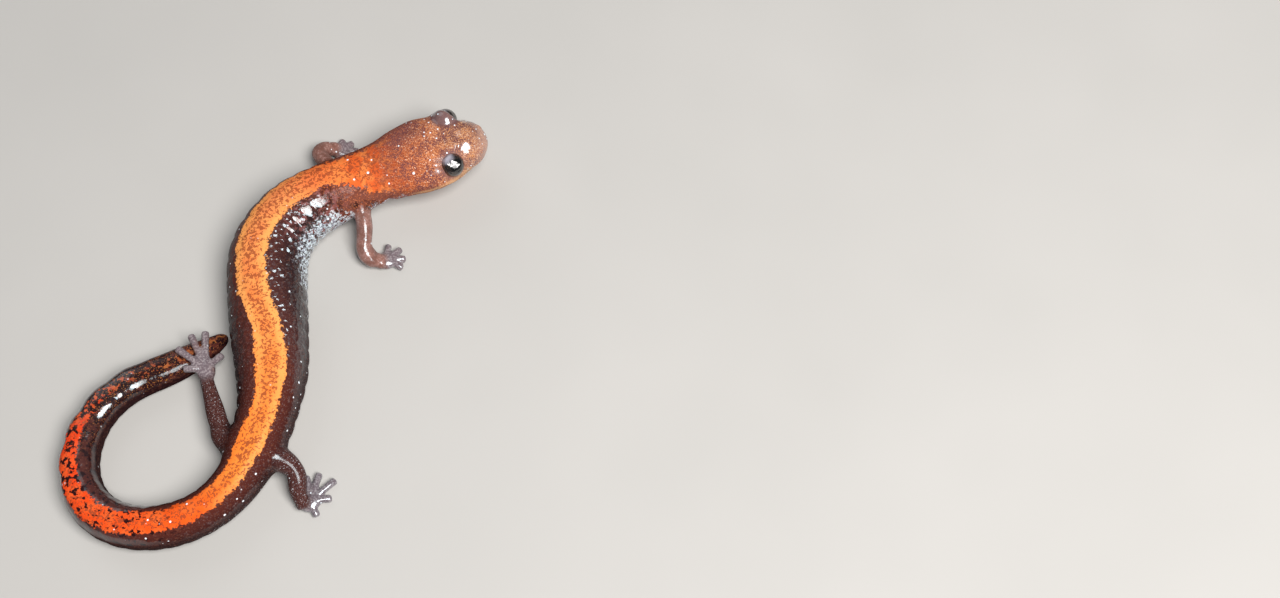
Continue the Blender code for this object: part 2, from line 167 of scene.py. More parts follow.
def spreadEvenly(low, high, spacing):
    # Places from low to high whose gaps follow the spacing function: its reciprocal is summed up,
    # and the sum is cut into equal shares.
    fine = np.linspace(low, high, 4000)
    count = np.cumsum(1 / spacing(fine))
    share = (count - count[0]) / (count[-1] - count[0])
    total = int(round((high - low) * np.mean(1 / spacing(fine)))) + 1
    return np.interp(np.linspace(0, 1, total), share, fine)


# The body

pose = {
    "middle": (-31.33, -3.35),
    "snout": (-13.85, 14.1),
    "heading": -177.6,
    "bends": (
        (1.5, 9.5), (2.0, 7.3), (3.5, 1.5), (2.5, 0.4), (2.5, 1.8), (5.2, 11.3), (7.6, 62.7), (7.9, 2.6),
        (10.2, -33.6), (11.7, -79.8), (5.3, -53.5), (9.3, -70.4), (2.5, -20.1), (7.6, 24.9),
    ),
    "ease": 3.0,
    "step": 0.05,
}
bodySizes = {
    "length": 79.3,
    "place": (
        0, 1.2, 2.4, 4.4, 6, 8, 10.4, 13, 16, 20, 24, 30,
        34, 38, 41, 43.5, 47, 56, 61, 67, 74.5, 77, 79.3,
    ),
    "halfWidth": (
        1.76, 2.07, 2.64, 3.37, 3.57, 3.22, 2.84, 2.71, 2.96, 3.26, 3.49, 3.35,
        3.08, 2.52, 2.33, 1.97, 1.78, 1.76, 1.58, 1.44, 1.33, 1.0, 0.45,
    ),
    "back": (
        4.25, 4.65, 5.0, 5.5, 5.7, 5.5, 5.2, 5.4, 5.7, 5.8, 5.85, 5.75,
        5.45, 5.1, 4.8, 4.4, 4.1, 3.8, 3.45, 2.95, 2.3, 1.7, 0.8,
    ),
    "under": (
        2.45, 2.35, 2.2, 2.0, 1.85, 1.65, 1.25, 0.55, -0.1, -0.25, -0.25, -0.25,
        -0.22, -0.15, -0.05, -0.12, -0.18, -0.18, -0.16, -0.14, -0.1, -0.08, -0.04,
    ),
    "snoutRound": 1.4, "tailRound": 0.6, "trunkEnd": 54.0, "tailStart": 50.0,
    "fullness": 2.35,  # the exponent of the head's section; each change is how much, from where and to where
    "fullnessChanges": ((-0.17, 3.8, 2.4), (-0.2, 8.0, 10.5), (0.45, 50.0, 56.0)),
}
relief = {  # a negative depth is a swelling; a span is where it starts, is full, is full no more and ends
    "mouth": {"angle": 103.0, "depth": 0.2, "half": 1.7, "span": (0.0, 0.7, 5.3, 5.9)},
    "lips": {"height": 0.07, "away": 8.0, "half": 4.5, "lower": 0.7},
    "muzzle": {"depth": 0.05, "place": 0.8, "half": 0.07, "angles": (56.0, 62.0, 95.0, 101.0)},
    "temple": {"depth": 0.13, "place": 6.4, "long": 1.0, "angle": 34.0, "wide": 13.0},
    "jawMuscle": {"depth": -0.104, "place": 8.0, "long": 1.3, "angle": 72.0, "wide": 16.0},
    "crown": {"depth": -0.207, "place": 2.2, "long": 1.2, "angle": 0.0, "wide": 22.0},
    "throat": {"depth": 0.2, "place": 10.2, "half": 0.3},
    "ribs": {"first": 15.6, "pitch": 1.4, "count": 18, "depth": 0.10, "half": 0.24},
    "folds": {"depth": 0.30, "bend": 3.3, "most": 0.5},
    "backGroove": {"depth": 0.06, "half": 9.0, "span": (10.0, 13.0, 40.0, 44.0)},
    "tailRings": {"depth": 0.05, "pitch": 1.35, "span": (45.0, 47.0, 66.0, 72.0)},
    "tailSwells": {
        "height": 0.065, "pitch": 2.8, "place": 66.9, "span": (58.0, 61.0, 70.5, 74.0), "side": (88.0, 50.0),
    },
    "uneven": {"height": 0.03, "waves": 7, "along": (0.4, 1.6), "round": (1, 6), "seed": 5},
    "canthus": {
        "place": 1.52, "out": 0.84, "turn": 38.0, "shift": -0.085, "above": 3.0,
        "height": 0.346, "wide": 1.2, "long": 1.1,
    },
    "nostril": {
        "place": 0.62, "angle": 52.0, "half": 0.13, "depth": 0.15, "towards": 2.4, "towardsHeight": 3.4,
        "rim": 0.05, "rimAway": 0.24, "rimHalf": 0.1,
    },
}
eye = {  # 1 is the left side and -1 the right
    "place": {1: 3.2, -1: 3.77}, "side": {1: 2.25, -1: 2.27}, "height": {1: 4.7, -1: 4.5}, "radius": 1.07,
    "look": {1: (0.75, 0.65, 0.0), -1: (0.38, 0.68, 0.78)}, "opening": {1: 66.0, -1: 92.0},
    "rise": (0.3, 0.8, 0.5), "lidHeight": 0.62, "lidSpread": 1.4, "lidLow": 2.0, "lidEase": 1.2,
    "lidThick": 0.08, "lidEdge": 22.0, "rim": 0.02, "merge": 0.1, "shellReach": (3.0, 2.2),
    "openEdge": 3.0, "openReach": 1.8, "openDepth": 0.3,
    "back": 0.985, "front": 0.03, "frontHalf": 38.0, "rings": 74, "sides": 96,
    "flatWay": (0.21, -0.37, 0.91), "flatReach": 46.0, "flatDepth": 0.13, "sheenWay": (-0.45, 0.25, 0.86),
}


def traceSpine():
    # Headings are the running sum of the bends, averaged over the ease, and the line is their integral.
    length = bodySizes["length"]
    places = np.arange(0.0, length + pose["step"], pose["step"])
    bends = np.array(pose["bends"])
    ends = np.concatenate([[0.0], np.cumsum(bends[:, 0])])
    turns = pose["heading"] + np.concatenate([[0.0], np.cumsum(bends[:, 1])])
    reach = int(pose["ease"] / pose["step"] / 2)
    wide = np.arange(-reach, len(places) + reach) * pose["step"]
    kernel = np.ones(2 * reach + 1) / (2 * reach + 1)
    headings = np.radians(np.convolve(np.interp(wide, ends, turns), kernel, mode="valid"))
    steps = np.stack([np.cos(headings), np.sin(headings)], axis=1) * pose["step"]
    corner = np.array(pose["snout"]) - np.array(pose["middle"])
    positions = corner + np.vstack([[0.0, 0.0], np.cumsum((steps[1:] + steps[:-1]) / 2, axis=0)])
    return places, headings, positions


spinePlaces, spineHeadings, spinePositions = traceSpine()
spineCurve = np.gradient(spineHeadings, spinePlaces)


def spineFrame(place):
    # The floor position under the spine, and the unit vector to the animal's left.
    heading = np.interp(place, spinePlaces, spineHeadings)
    middle = np.stack([np.interp(place, spinePlaces, spinePositions[:, axis]) for axis in (0, 1)], axis=-1)
    return middle, np.stack([np.sin(heading), -np.cos(heading)], axis=-1)


def bodyProfile(place):
    # Half width, half height and middle height; quarter circles round off the snout and the tip.
    halfWidth, back, under = (
        curveThrough(bodySizes["place"], bodySizes[name], place) for name in ("halfWidth", "back", "under")
    )
    fromSnout = np.clip(place / bodySizes["snoutRound"], 0.0, 1.0)
    fromTip = np.clip((bodySizes["length"] - place) / bodySizes["tailRound"], 0.0, 1.0)
    ends = np.sqrt(1 - (1 - fromSnout) ** 2) * np.sqrt(1 - (1 - fromTip) ** 2)
    return halfWidth * ends, (back - under) / 2 * ends, (back + under) / 2


def bodyFullness(place):
    # The exponent of the section's oval: squarer over the head and the tail.
    changes = (size * smoothStep(start, end, place) for size, start, end in bodySizes["fullnessChanges"])
    return bodySizes["fullness"] + sum(changes)


def headRelief(place, fromBack):
    # A bell across the mouth's line less one on each lip, bells both along and round the head for its
    # temples, jaw muscles and crown, and a fine line round the muzzle.
    mouth, lips, muzzle = relief["mouth"], relief["lips"], relief["muzzle"]
    fromMouth = fromBack - mouth["angle"]
    onMouth = within(place, *mouth["span"])
    upper, lower = (bump(fromMouth + way * lips["away"], lips["half"]) for way in (1, -1))
    depth = mouth["depth"] * onMouth * bump(fromMouth, mouth["half"])
    depth = depth - lips["height"] * onMouth * (upper + lips["lower"] * lower)
    for dent in (relief[name] for name in ("temple", "jawMuscle", "crown")):
        along = bump(place - dent["place"], dent["long"])
        depth = depth + dent["depth"] * along * bump(fromBack - dent["angle"], dent["wide"])
    onMuzzle = within(fromBack, *muzzle["angles"])
    return depth + muzzle["depth"] * bump(place - muzzle["place"], muzzle["half"]) * onMuzzle


def trunkRelief(place, angle, fromBack, flank):
    # The fold of the throat, grooves between the ribs that are deeper inside a bend, and one along the back.
    throat, ribs, folds, groove = (relief[name] for name in ("throat", "ribs", "folds", "backGroove"))
    below = np.clip(0.4 - 1.5 * np.cos(np.radians(angle)), 0.0, 1.0)
    depth = throat["depth"] * below * bump(place - throat["place"], throat["half"])
    rib = np.clip(np.round((place - ribs["first"]) / ribs["pitch"]), 0, ribs["count"] - 1)
    fromRib = place - ribs["first"] - rib * ribs["pitch"]
    inBend = -np.interp(place, spinePlaces, spineCurve) * np.sin(np.radians(angle)) * folds["bend"]
    ribDepth = ribs["depth"] + folds["depth"] * np.clip(inBend, 0.0, folds["most"])
    depth = depth + ribDepth * flank * bump(fromRib, ribs["half"])
    return depth + groove["depth"] * within(place, *groove["span"]) * bump(fromBack, groove["half"])


def tailRelief(place, fromBack, flank):
    # Shallow rings at an even pitch, and a wave of soft swells along the upper side.
    rings, swells = relief["tailRings"], relief["tailSwells"]
    fromRing = (place + rings["pitch"] / 2) % rings["pitch"] - rings["pitch"] / 2
    depth = rings["depth"] * flank * within(place, *rings["span"]) * bump(fromRing, relief["ribs"]["half"])
    wave = np.sin(2 * np.pi * (place - swells["place"]) / swells["pitch"])
    swelling = within(place, *swells["span"]) * smoothStep(*swells["side"], fromBack)
    return depth - swells["height"] * swelling * wave


def skinRelief(place, angle):
    # How far the skin is below the plain oval.
    fromBack = np.where(angle > 180, 360 - angle, angle)
    flank = np.abs(np.sin(np.radians(angle))) ** 1.5
    onTrunk, onTail = trunkRelief(place, angle, fromBack, flank), tailRelief(place, fromBack, flank)
    return headRelief(place, fromBack) + onTrunk + onTail


def unevenness(place, angle):
    # A slow swell of the skin: a few sines over length and girth with drawn phases, from -1 to 1.
    uneven = relief["uneven"]
    draw = np.random.default_rng(uneven["seed"])
    total = 0.0
    for wave in range(uneven["waves"]):
        along, around = draw.uniform(*uneven["along"]), draw.integers(*uneven["round"])
        total = total + np.sin(place * along + np.radians(angle) * around + draw.uniform(0, 6.28))
    return total / uneven["waves"]


def bodyPoints(place, angle, plain=False):
    # Across and up are powers of the angle's sine and cosine, carried along the spine; the floor cuts
    # them flat.
    halfWidth, halfHeight, middleHeight = bodyProfile(place)
    uneven = relief["uneven"]["height"]
    depth = 0.0 if plain else skinRelief(place, angle) + uneven * unevenness(place, angle)
    power = 2 / bodyFullness(place)
    across, upward = np.sin(np.radians(angle)), np.cos(np.radians(angle))
    sideways = np.maximum(halfWidth - depth, 0.0) * np.sign(across) * np.abs(across) ** power
    height = middleHeight + np.maximum(halfHeight - depth, 0.0) * np.sign(upward) * np.abs(upward) ** power
    middle, left = spineFrame(place)
    return np.concatenate([middle + left * sideways[..., None], np.maximum(height, 0.0)[..., None]], axis=-1)


def eyeCentre(side):
    middle, left = spineFrame(eye["place"][side])
    return np.array([*(middle + left * side * eye["side"][side]), eye["height"][side]])


def headWay(side, way):
    # A unit vector from shares forwards, outwards and up at the eyes.
    left = spineFrame(eye["place"][side])[1]
    forward = np.array([left[1], -left[0]])
    return unit(np.array([*(forward * way[0] + left * side * way[1]), way[2]]))


def eyeLook(side):
    return headWay(side, eye["look"][side])


def raiseCanthus(points):
    # A soft ridge from each eye to the snout: a bell across it times a bell along it.
    ridge = relief["canthus"]
    middle, left = spineFrame(ridge["place"])
    forward = np.array([left[1], -left[0]])
    turn = np.radians(ridge["turn"])
    offset = points[..., :2] - middle
    for side in (1, -1):
        ahead, outward = offset @ forward, offset @ (left * side) - ridge["out"]
        along = ahead * np.cos(turn) - outward * np.sin(turn)
        across = ahead * np.sin(turn) + outward * np.cos(turn) + ridge["shift"]
        height = ridge["height"] * bump(across, ridge["wide"]) * bump(along, ridge["long"])
        raised = height * np.clip(points[..., 2] - ridge["above"], 0.0, 1.0)
        points = points + raised[..., None] * np.array([0.0, 0.0, 1.0])
    return points


def shapeLids(points):
    # The skin swells out beside the eyeball, then slides smoothly onto a shell round it; inside the
    # opening it drops below the eyeball.
    for side in (1, -1):
        rise, look, opening = headWay(side, eye["rise"]), eyeLook(side), eye["opening"][side]
        offset = points - eyeCentre(side)
        height = offset @ rise
        aside = np.linalg.norm(offset - height[..., None] * rise, axis=-1)
        near = np.clip((height + eye["lidLow"]) / eye["lidEase"], 0.0, 1.0)
        swell = eye["lidHeight"] * near * np.exp(-((aside / eye["lidSpread"]) ** 4))
        points = points + swell[..., None] * rise
        offset = points - eyeCentre(side)
        distance = np.linalg.norm(offset, axis=-1)
        toLook = anglesFrom(offset, look)
        thick = eye["lidThick"] * smoothStep(opening, opening + eye["lidEdge"], toLook)
        shell = eye["radius"] + eye["rim"] + thick
        over = distance - shell
        wanted = shell + (over + np.sqrt(over**2 + eye["merge"] ** 2)) / 2
        wanted = distance + (wanted - distance) * smoothStep(*eye["shellReach"], distance)
        opened = smoothStep(opening + eye["openEdge"], opening - eye["openEdge"], toLook)
        opened = opened * (distance < eye["openReach"])
        wanted = wanted * (1 - opened) + (eye["radius"] - eye["openDepth"]) * opened
        points = eyeCentre(side) + offset * (wanted / distance)[..., None]
    return points


def sinkNostrils(points):
    # Two small pits: each point moves towards the head's middle by a bell of its distance, less a rim.
    nostril = relief["nostril"]
    for side in (1, -1):
        angle = np.array([nostril["angle"] * side % 360])
        pit = raiseCanthus(bodyPoints(np.array([nostril["place"]]), angle))[0]
        inwards = unit(np.array([*spineFrame(nostril["towards"])[0], nostril["towardsHeight"]]) - pit)
        distance = np.linalg.norm(points - pit, axis=-1)
        depth = nostril["depth"] * bump(distance, nostril["half"])
        depth = depth - nostril["rim"] * bump(distance - nostril["rimAway"], nostril["rimHalf"])
        points = points + depth[..., None] * inwards
    return points


def gridMesh(name, grid, start, end):
    # A tube of rings closed by a fan at each end.
    rings, sides = grid.shape[:2]
    index = np.arange(rings * sides).reshape(rings, sides)
    after = np.roll(index, -1, axis=1)
    quads = np.stack([index[:-1], after[:-1], after[1:], index[1:]], axis=-1).reshape(-1, 4)
    first, last = rings * sides, rings * sides + 1
    startFan = np.stack([after[0], index[0], np.full(sides, first)], axis=-1)
    endFan = np.stack([index[-1], after[-1], np.full(sides, last)], axis=-1)
    points = np.vstack([grid.reshape(-1, 3), start, end])
    mesh = bpy.data.meshes.new(name)
    mesh.from_pydata(points.tolist(), [], quads.tolist() + startFan.tolist() + endFan.tolist())
    return faceOutwards(mesh)


def faceOutwards(mesh):
    work = bmesh.new()
    work.from_mesh(mesh)
    bmesh.ops.recalc_face_normals(work, faces=work.faces)
    work.to_mesh(mesh)
    work.free()
    return mesh


skinGrid = {
    "place": (1.4, 2.0, 5.5, 9.0, 14.0, 45.0, 78.0), "gap": (0.07, 0.085, 0.09, 0.13, 0.18, 0.2, 0.27),
    "turnGap": 2.75, "atMouth": (1.75, 9.0), "atEyes": (0.7, 55.0, 25.0),
    "snoutRings": 34, "tipRings": 8, "headEnd": 9.0,
}


def ringSpacing(place):
    # Gap between rings along the body: fine at the eyes and lips, wider down the tail.
    return np.interp(place, skinGrid["place"], skinGrid["gap"])


def angleSpacing(angle):
    # Gap between the points of a ring: fine at the mouth and over the eyes.
    fromBack = np.where(angle > 180, 360 - angle, angle)
    (mouthLess, mouthHalf), (eyeLess, eyeAngle, eyeHalf) = skinGrid["atMouth"], skinGrid["atEyes"]
    atMouth = mouthLess * bump(fromBack - relief["mouth"]["angle"], mouthHalf)
    return skinGrid["turnGap"] - atMouth - eyeLess * bump(fromBack - eyeAngle, eyeHalf)


def bodyGrid():
    # Rings from snout to tail tip; those of the round ends close up as the cosine of a quarter turn.
    snoutRound, tailRound, length = bodySizes["snoutRound"], bodySizes["tailRound"], bodySizes["length"]
    quarter = np.linspace(0, np.pi / 2, skinGrid["snoutRings"])[1:-1]
    tipQuarter = np.linspace(0, np.pi / 2, skinGrid["tipRings"])[1:-1]
    snout = snoutRound * (1 - np.cos(quarter))
    middle = spreadEvenly(snoutRound, length - tailRound, ringSpacing)
    tip = length - tailRound * (1 - np.cos(tipQuarter[::-1]))
    places = np.concatenate([snout, middle, tip])
    angles = spreadEvenly(0.0, 360.0, angleSpacing)[:-1]
    grid = bodyPoints(places[:, None], angles[None, :])
    headRings = places < skinGrid["headEnd"]
    grid[headRings] = sinkNostrils(shapeLids(raiseCanthus(grid[headRings])))
    return grid


# The limbs

limbJoints = {
    "frontRight": (
        (-25.4, 9, 3.1), (-24.68, 6.3, 2.55), (-24.68, 4.35, 1.65), (-24.15, 3.55, 1.12), (-23.5, 3.45, 0.78),
    ),
    "frontLeft": (
        (-27.2, 10.3, 2.8), (-28.5, 12.3, 2.4), (-29.4, 13.7, 1.8), (-29.2, 14.6, 1.2), (-28.6, 14.9, 0.8),
    ),
    "hindRight": (
        (-32, -15, 2.5), (-29.8, -15.9, 2.4), (-28.75, -16.8, 2.1), (-28.55, -18.2, 1.5), (-28.25, -19, 0.95),
    ),
    "hindLeft": (
        (-33.2, -15.2, 2.4), (-34.9, -13.9, 2.5), (-35.6, -12.5, 2.4), (-36.3, -10.7, 2.3), (-36.95, -9, 2.2),
    ),
}
limbSizes = {
    "front": {
        "halfWidth": (0.9, 0.7, 0.74, 0.77, 0.7), "halfHeight": (0.95, 0.72, 0.68, 0.62, 0.48),
        "sole": (0.88, 0.46),
    },
    "hind": {
        "halfWidth": (1.2, 0.95, 0.8, 0.7, 0.58), "halfHeight": (1.25, 1.0, 0.8, 0.66, 0.48),
        "sole": (0.82, 0.46),
    },
}
soles = {
    "frontRight": ((-23.65, 3.5, 0.44), (-22, 3.8, 0.36)),
    "frontLeft": ((-28.75, 15, 0.42), (-27, 14.9, 0.34)),
    "hindRight": ((-28.25, -19.6, 0.44), (-27, -18, 0.36)),
    "hindLeft": ((-37, -8.8, 2.15), (-37.6, -6.4, 2.2)),
}
toeTips = {
    "frontRight": ((-22.8, 5.1, 0.22), (-21.7, 4.75, 0.22), (-21.25, 3.85, 0.22), (-21.45, 3, 0.22)),
    "frontLeft": ((-26.55, 14.15, 0.22), (-26.35, 14.95, 0.22), (-26.9, 15.75, 0.22), (-27.8, 16, 0.22)),
    "hindRight": (
        (-28.25, -16.65, 0.22), (-27.2, -16.4, 0.22), (-25.85, -16.95, 0.22), (-26.05, -18.5, 0.22),
        (-27.1, -19.95, 0.22),
    ),
    "hindLeft": (
        (-36.3, -6.1, 1.6), (-37.85, -4.1, 1.9), (-38.95, -4.5, 2.15), (-39.75, -6, 2.85), (-39, -7.7, 2.6),
    ),
}
limbDetail = {
    "sides": 40, "perJoint": 14, "reach": 0.55, "reachRings": 5,
    "muscles": ((0.05, 1.1, 0.5), (-0.05, 1.75, 0.3), (0.06, 2.6, 0.5)),  # share, joint and half length
    "soleRings": 26, "soleSides": 32, "soleBalls": (0.1, 1.0, 6),
    "toePlaces": (0, 1.1, 1.75, 2), "toeRadii": (0.38, 0.31, 0.34, 0.34), "toeFromSole": 0.12,
    "roundEnd": 0.15, "arch": 0.1, "toeRings": 12, "capRings": 7, "toeSides": 18,
    "toeBalls": (0.3, 1.0, 8), "ball": 0.3,
    "voxel": 0.1, "smooth": 0.5, "smoothRounds": 3,
    "fillet": 1.0, "filletShare": 0.8, "rootRings": 30, "rootReach": 0.3, "rootBalls": 34,
    "seam": 0.544, "seamFeet": 0.8, "seamSmooth": 0.6, "seamRounds": 24,
}


def fromMiddle(points):
    return np.array(points, float) - np.array([*pose["middle"], 0.0])


def smoothPath(joints, perJoint):
    # Each stretch is a cubic whose end slopes are half the chord of its neighbours.
    joints = np.array(joints)
    padded = np.vstack([2 * joints[0] - joints[1], joints, 2 * joints[-1] - joints[-2]])
    along = np.linspace(0, len(joints) - 1, (len(joints) - 1) * perJoint + 1)
    left = np.minimum(along.astype(int), len(joints) - 2)
    t = (along - left)[:, None]
    a, b, c, d = (padded[left + i] for i in range(4))
    return b + 0.5 * t * (c - a + t * (2 * a - 5 * b + 4 * c - d + t * (3 * (b - c) + d - a))), along


def tubeGrid(path, halfWidths, halfHeights, sides):
    # Ovals square to the path, with their width level.
    sideways, upward = squareTo(unit(np.gradient(path, axis=0)))
    turn = fullTurn(sides)[None, :, None]
    wide = sideways[:, None] * np.cos(turn) * halfWidths[:, None, None]
    high = upward[:, None] * np.sin(turn) * halfHeights[:, None, None]
    return path[:, None] + wide + high


def limbSize(limb, name):
    return limbSizes["front" if limb.startswith("front") else "hind"][name]


def limbLine(limb):
    # The limb's path on into the sole, with its half width and half height.
    joints = fromMiddle(limbJoints[limb])
    path, along = smoothPath(joints, limbDetail["perJoint"])
    last = unit(path[-1] - path[-2])
    more = np.linspace(0, 1, limbDetail["reachRings"] + 1)[1:, None]
    path = np.vstack([path, path[-1] + last * limbDetail["reach"] * more])
    along = np.concatenate([along, np.full(len(more), along[-1])])
    places = np.arange(len(joints))
    wide, high = (curveThrough(places, limbSize(limb, name), along) for name in ("halfWidth", "halfHeight"))
    muscle = 1 + sum(share * bump(along - joint, half) for share, joint, half in limbDetail["muscles"])
    return path, wide * muscle, high * muscle


def soleGrid(limb):
    # A flattened ball from heel to front: x, y and z are sines and cosines times the three half sizes.
    heel, front = fromMiddle(soles[limb])
    halfWidth, halfHeight = limbSize(limb, "sole")
    forward, middle = unit(front - heel), (heel + front) / 2
    sideways, upward = squareTo(forward)
    polar = np.linspace(0, np.pi, limbDetail["soleRings"])[1:-1, None, None]
    turn = fullTurn(limbDetail["soleSides"])[None, :, None]
    reach = np.linalg.norm(front - heel) / 2
    ring = np.cos(turn) * halfWidth * sideways + np.sin(turn) * halfHeight * upward
    ball = np.sin(polar) * ring - np.cos(polar) * reach * forward
    return middle + ball, middle - forward * reach, middle + forward * reach


def toeGrid(root, tip):
    # Thick at the root, slimmer in the middle, a round bulb at the end.
    knuckle = (root + tip) / 2 + [0.0, 0.0, limbDetail["arch"]]
    path, along = smoothPath((root, knuckle, tip), limbDetail["toeRings"])
    end = tip + unit(tip - knuckle) * limbDetail["roundEnd"]
    cap = np.sin(np.linspace(0, np.pi / 2, limbDetail["capRings"])[1:-1])[:, None]
    path = np.vstack([path, tip + (end - tip) * cap])
    radii = curveThrough(limbDetail["toePlaces"], limbDetail["toeRadii"], along)
    radii = np.concatenate([radii, radii[-1] * np.sqrt(1 - cap[:, 0] ** 2)])
    return tubeGrid(path, radii, radii, limbDetail["toeSides"]), path[0], end


def sceneObject(name, mesh):
    made = bpy.data.objects.new(name, mesh)
    bpy.context.scene.collection.objects.link(made)
    return made


def settled(maker):
    # The object's mesh with its modifiers worked in, as a mesh of its own.
    bpy.context.view_layer.update()
    evaluated = maker.evaluated_get(bpy.context.evaluated_depsgraph_get())
    return bpy.data.meshes.new_from_object(evaluated)


def joinMeshes(meshes):
    work = bmesh.new()
    for mesh in meshes:
        work.from_mesh(mesh)
    joined = bpy.data.meshes.new("joined")
    work.to_mesh(joined)
    work.free()
    return joined


def readPoints(mesh):
    points = np.empty(len(mesh.vertices) * 3)
    mesh.vertices.foreach_get("co", points)
    return points.reshape(-1, 3)


def readNormals(mesh):
    normals = np.empty(len(mesh.vertices) * 3, np.float32)
    mesh.vertex_normals.foreach_get("vector", normals)
    return normals.reshape(-1, 3).astype(float)


def writePoints(mesh, points):
    mesh.vertices.foreach_set("co", points.astype(np.float32).ravel())
    mesh.update()


def relax(mesh, points, weight, rounds):
    # Each round moves a point towards the mean of its neighbours by its weight.
    edges = np.empty(len(mesh.edges) * 2, int)
    mesh.edges.foreach_get("vertices", edges)
    a, b = edges.reshape(-1, 2).T
    count = np.bincount(a, minlength=len(points)) + np.bincount(b, minlength=len(points))
    for turn in range(rounds):
        near = [
            np.bincount(a, points[b, axis], len(points)) + np.bincount(b, points[a, axis], len(points))
            for axis in range(3)
        ]
        points = points + (np.stack(near, axis=1) / count[:, None] - points) * weight[:, None]
    return points


def closestPlace(points, span):
    # The closest point of a stretch of the spine for each point, in blocks, then a step along the tangent.
    coarse = spinePlaces[(spinePlaces >= span[0]) & (spinePlaces <= span[1])][::5]
    middle, left = spineFrame(coarse)
    blocks = np.array_split(points[:, :2], max(1, len(points) // 8000))
    nearest = [np.argmin(((block[:, None] - middle[None]) ** 2).sum(axis=2), axis=1) for block in blocks]
    nearest = np.concatenate(nearest)
    tangent = np.stack([-left[:, 1], left[:, 0]], axis=1)[nearest]
    step = ((points[:, :2] - middle[nearest]) * tangent).sum(axis=1)
    return np.clip(coarse[nearest] + step, *span)


def nearestPlace(points):
    # The tail lies beside the trunk, so both are tried and the one whose side is closer is kept.
    stretches = ((0.0, bodySizes["trunkEnd"]), (bodySizes["tailStart"], bodySizes["length"]))
    trunk, tail = (closestPlace(points, stretch) for stretch in stretches)
    toTrunk, toTail = (
        np.linalg.norm(points[:, :2] - spineFrame(place)[0], axis=1) - bodyProfile(place)[0]
        for place in (trunk, tail)
    )
    return np.where(toTail < toTrunk, tail, trunk)


def bodyHeight(points, place):
    # How far a point is outside the body's plain oval: its radius less the oval's in that direction.
    halfWidth, halfHeight, middleHeight = bodyProfile(place)
    middle, left = spineFrame(place)
    side = ((points[:, :2] - middle) * left).sum(axis=1)
    up = points[:, 2] - middleHeight
    radius = np.hypot(side, up) + 1e-6
    power = bodyFullness(place)
    across = np.abs(side) / radius / np.maximum(halfWidth, 1e-3)
    upward = np.abs(up) / radius / np.maximum(halfHeight, 1e-3)
    return radius - (across**power + upward**power) ** (-1 / power), side, up


def distanceTo(points, path, radii):
    # Distance to the nearest ball of a row of balls along a path.
    best = np.full(len(points), 1e9)
    for centre, radius in zip(path, radii):
        best = np.minimum(best, np.linalg.norm(points - centre, axis=1) - radius)
    return best


def roundedCorner(distance, fillet):
    # How far a surface rises towards its neighbour at a distance: a parabola up to a quarter of the fillet.
    share = np.clip(1 - np.abs(distance) / fillet, 0.0, 1.0)
    return np.where(distance > 0, share**2, 1.0) * fillet / 4


def makeLimb(limb):
    # Leg, sole and toes fused by a fine voxel remesh and relaxed, then widened where they meet the body.
    path, wide, high = limbLine(limb)
    leg = gridMesh("leg", tubeGrid(path, wide, high, limbDetail["sides"]), path[0], path[-1])
    sole = gridMesh("sole", *soleGrid(limb))
    middle, tips = fromMiddle(soles[limb]).mean(axis=0), fromMiddle(toeTips[limb])
    roots = middle + (tips - middle) * limbDetail["toeFromSole"]
    toes = [gridMesh("toe", *toeGrid(root, tip)) for root, tip in zip(roots, tips)]
    maker = sceneObject(limb, joinMeshes([leg, sole, *toes]))
    remesh = maker.modifiers.new("fuse", "REMESH")
    remesh.mode, remesh.voxel_size = "VOXEL", limbDetail["voxel"]
    mesh = settled(maker)
    bpy.data.objects.remove(maker)
    points = readPoints(mesh)
    points = relax(mesh, points, np.full(len(points), limbDetail["smooth"]), limbDetail["smoothRounds"])
    if limb != "hindLeft":  # the one that is off the floor
        points[:, 2] = np.maximum(points[:, 2], 0.0)
    writePoints(mesh, points)
    above = bodyHeight(points, nearestPlace(points))[0]
    rings = limbDetail["rootRings"]
    onRoot = distanceTo(points, path[:rings], wide[:rings]) < limbDetail["rootReach"]
    rise = roundedCorner(np.maximum(above, 0.0), limbDetail["fillet"]) * limbDetail["filletShare"] * onRoot
    writePoints(mesh, points + readNormals(mesh) * rise[:, None])
    return mesh


def raiseRoots(mesh):
    # The body's skin rises towards each limb that leaves it.
    points, normals = readPoints(mesh), readNormals(mesh)
    for limb in limbJoints:
        path, wide, high = (values[:limbDetail["rootBalls"]] for values in limbLine(limb))
        rise = roundedCorner(distanceTo(points, path, (wide + high) / 2), limbDetail["fillet"])
        points += normals * (rise * limbDetail["filletShare"])[:, None]
    points[:, 2] = np.maximum(points[:, 2], 0.0)
    writePoints(mesh, points)


def joinLimbs(body, limbs):
    # One closed surface from the body and its limbs.
    maker = sceneObject("body", body)
    tools = bpy.data.collections.new("limbs")
    bpy.context.scene.collection.children.link(tools)
    for name, mesh in limbs.items():
        tools.objects.link(bpy.data.objects.new(name, mesh))
    union = maker.modifiers.new("join", "BOOLEAN")
    union.operation, union.solver = "UNION", "MANIFOLD"
    union.operand_type, union.collection = "COLLECTION", tools
    mesh = settled(maker)
    for made in [maker, *tools.objects]:
        bpy.data.objects.remove(made)
    bpy.data.collections.remove(tools)
    return mesh


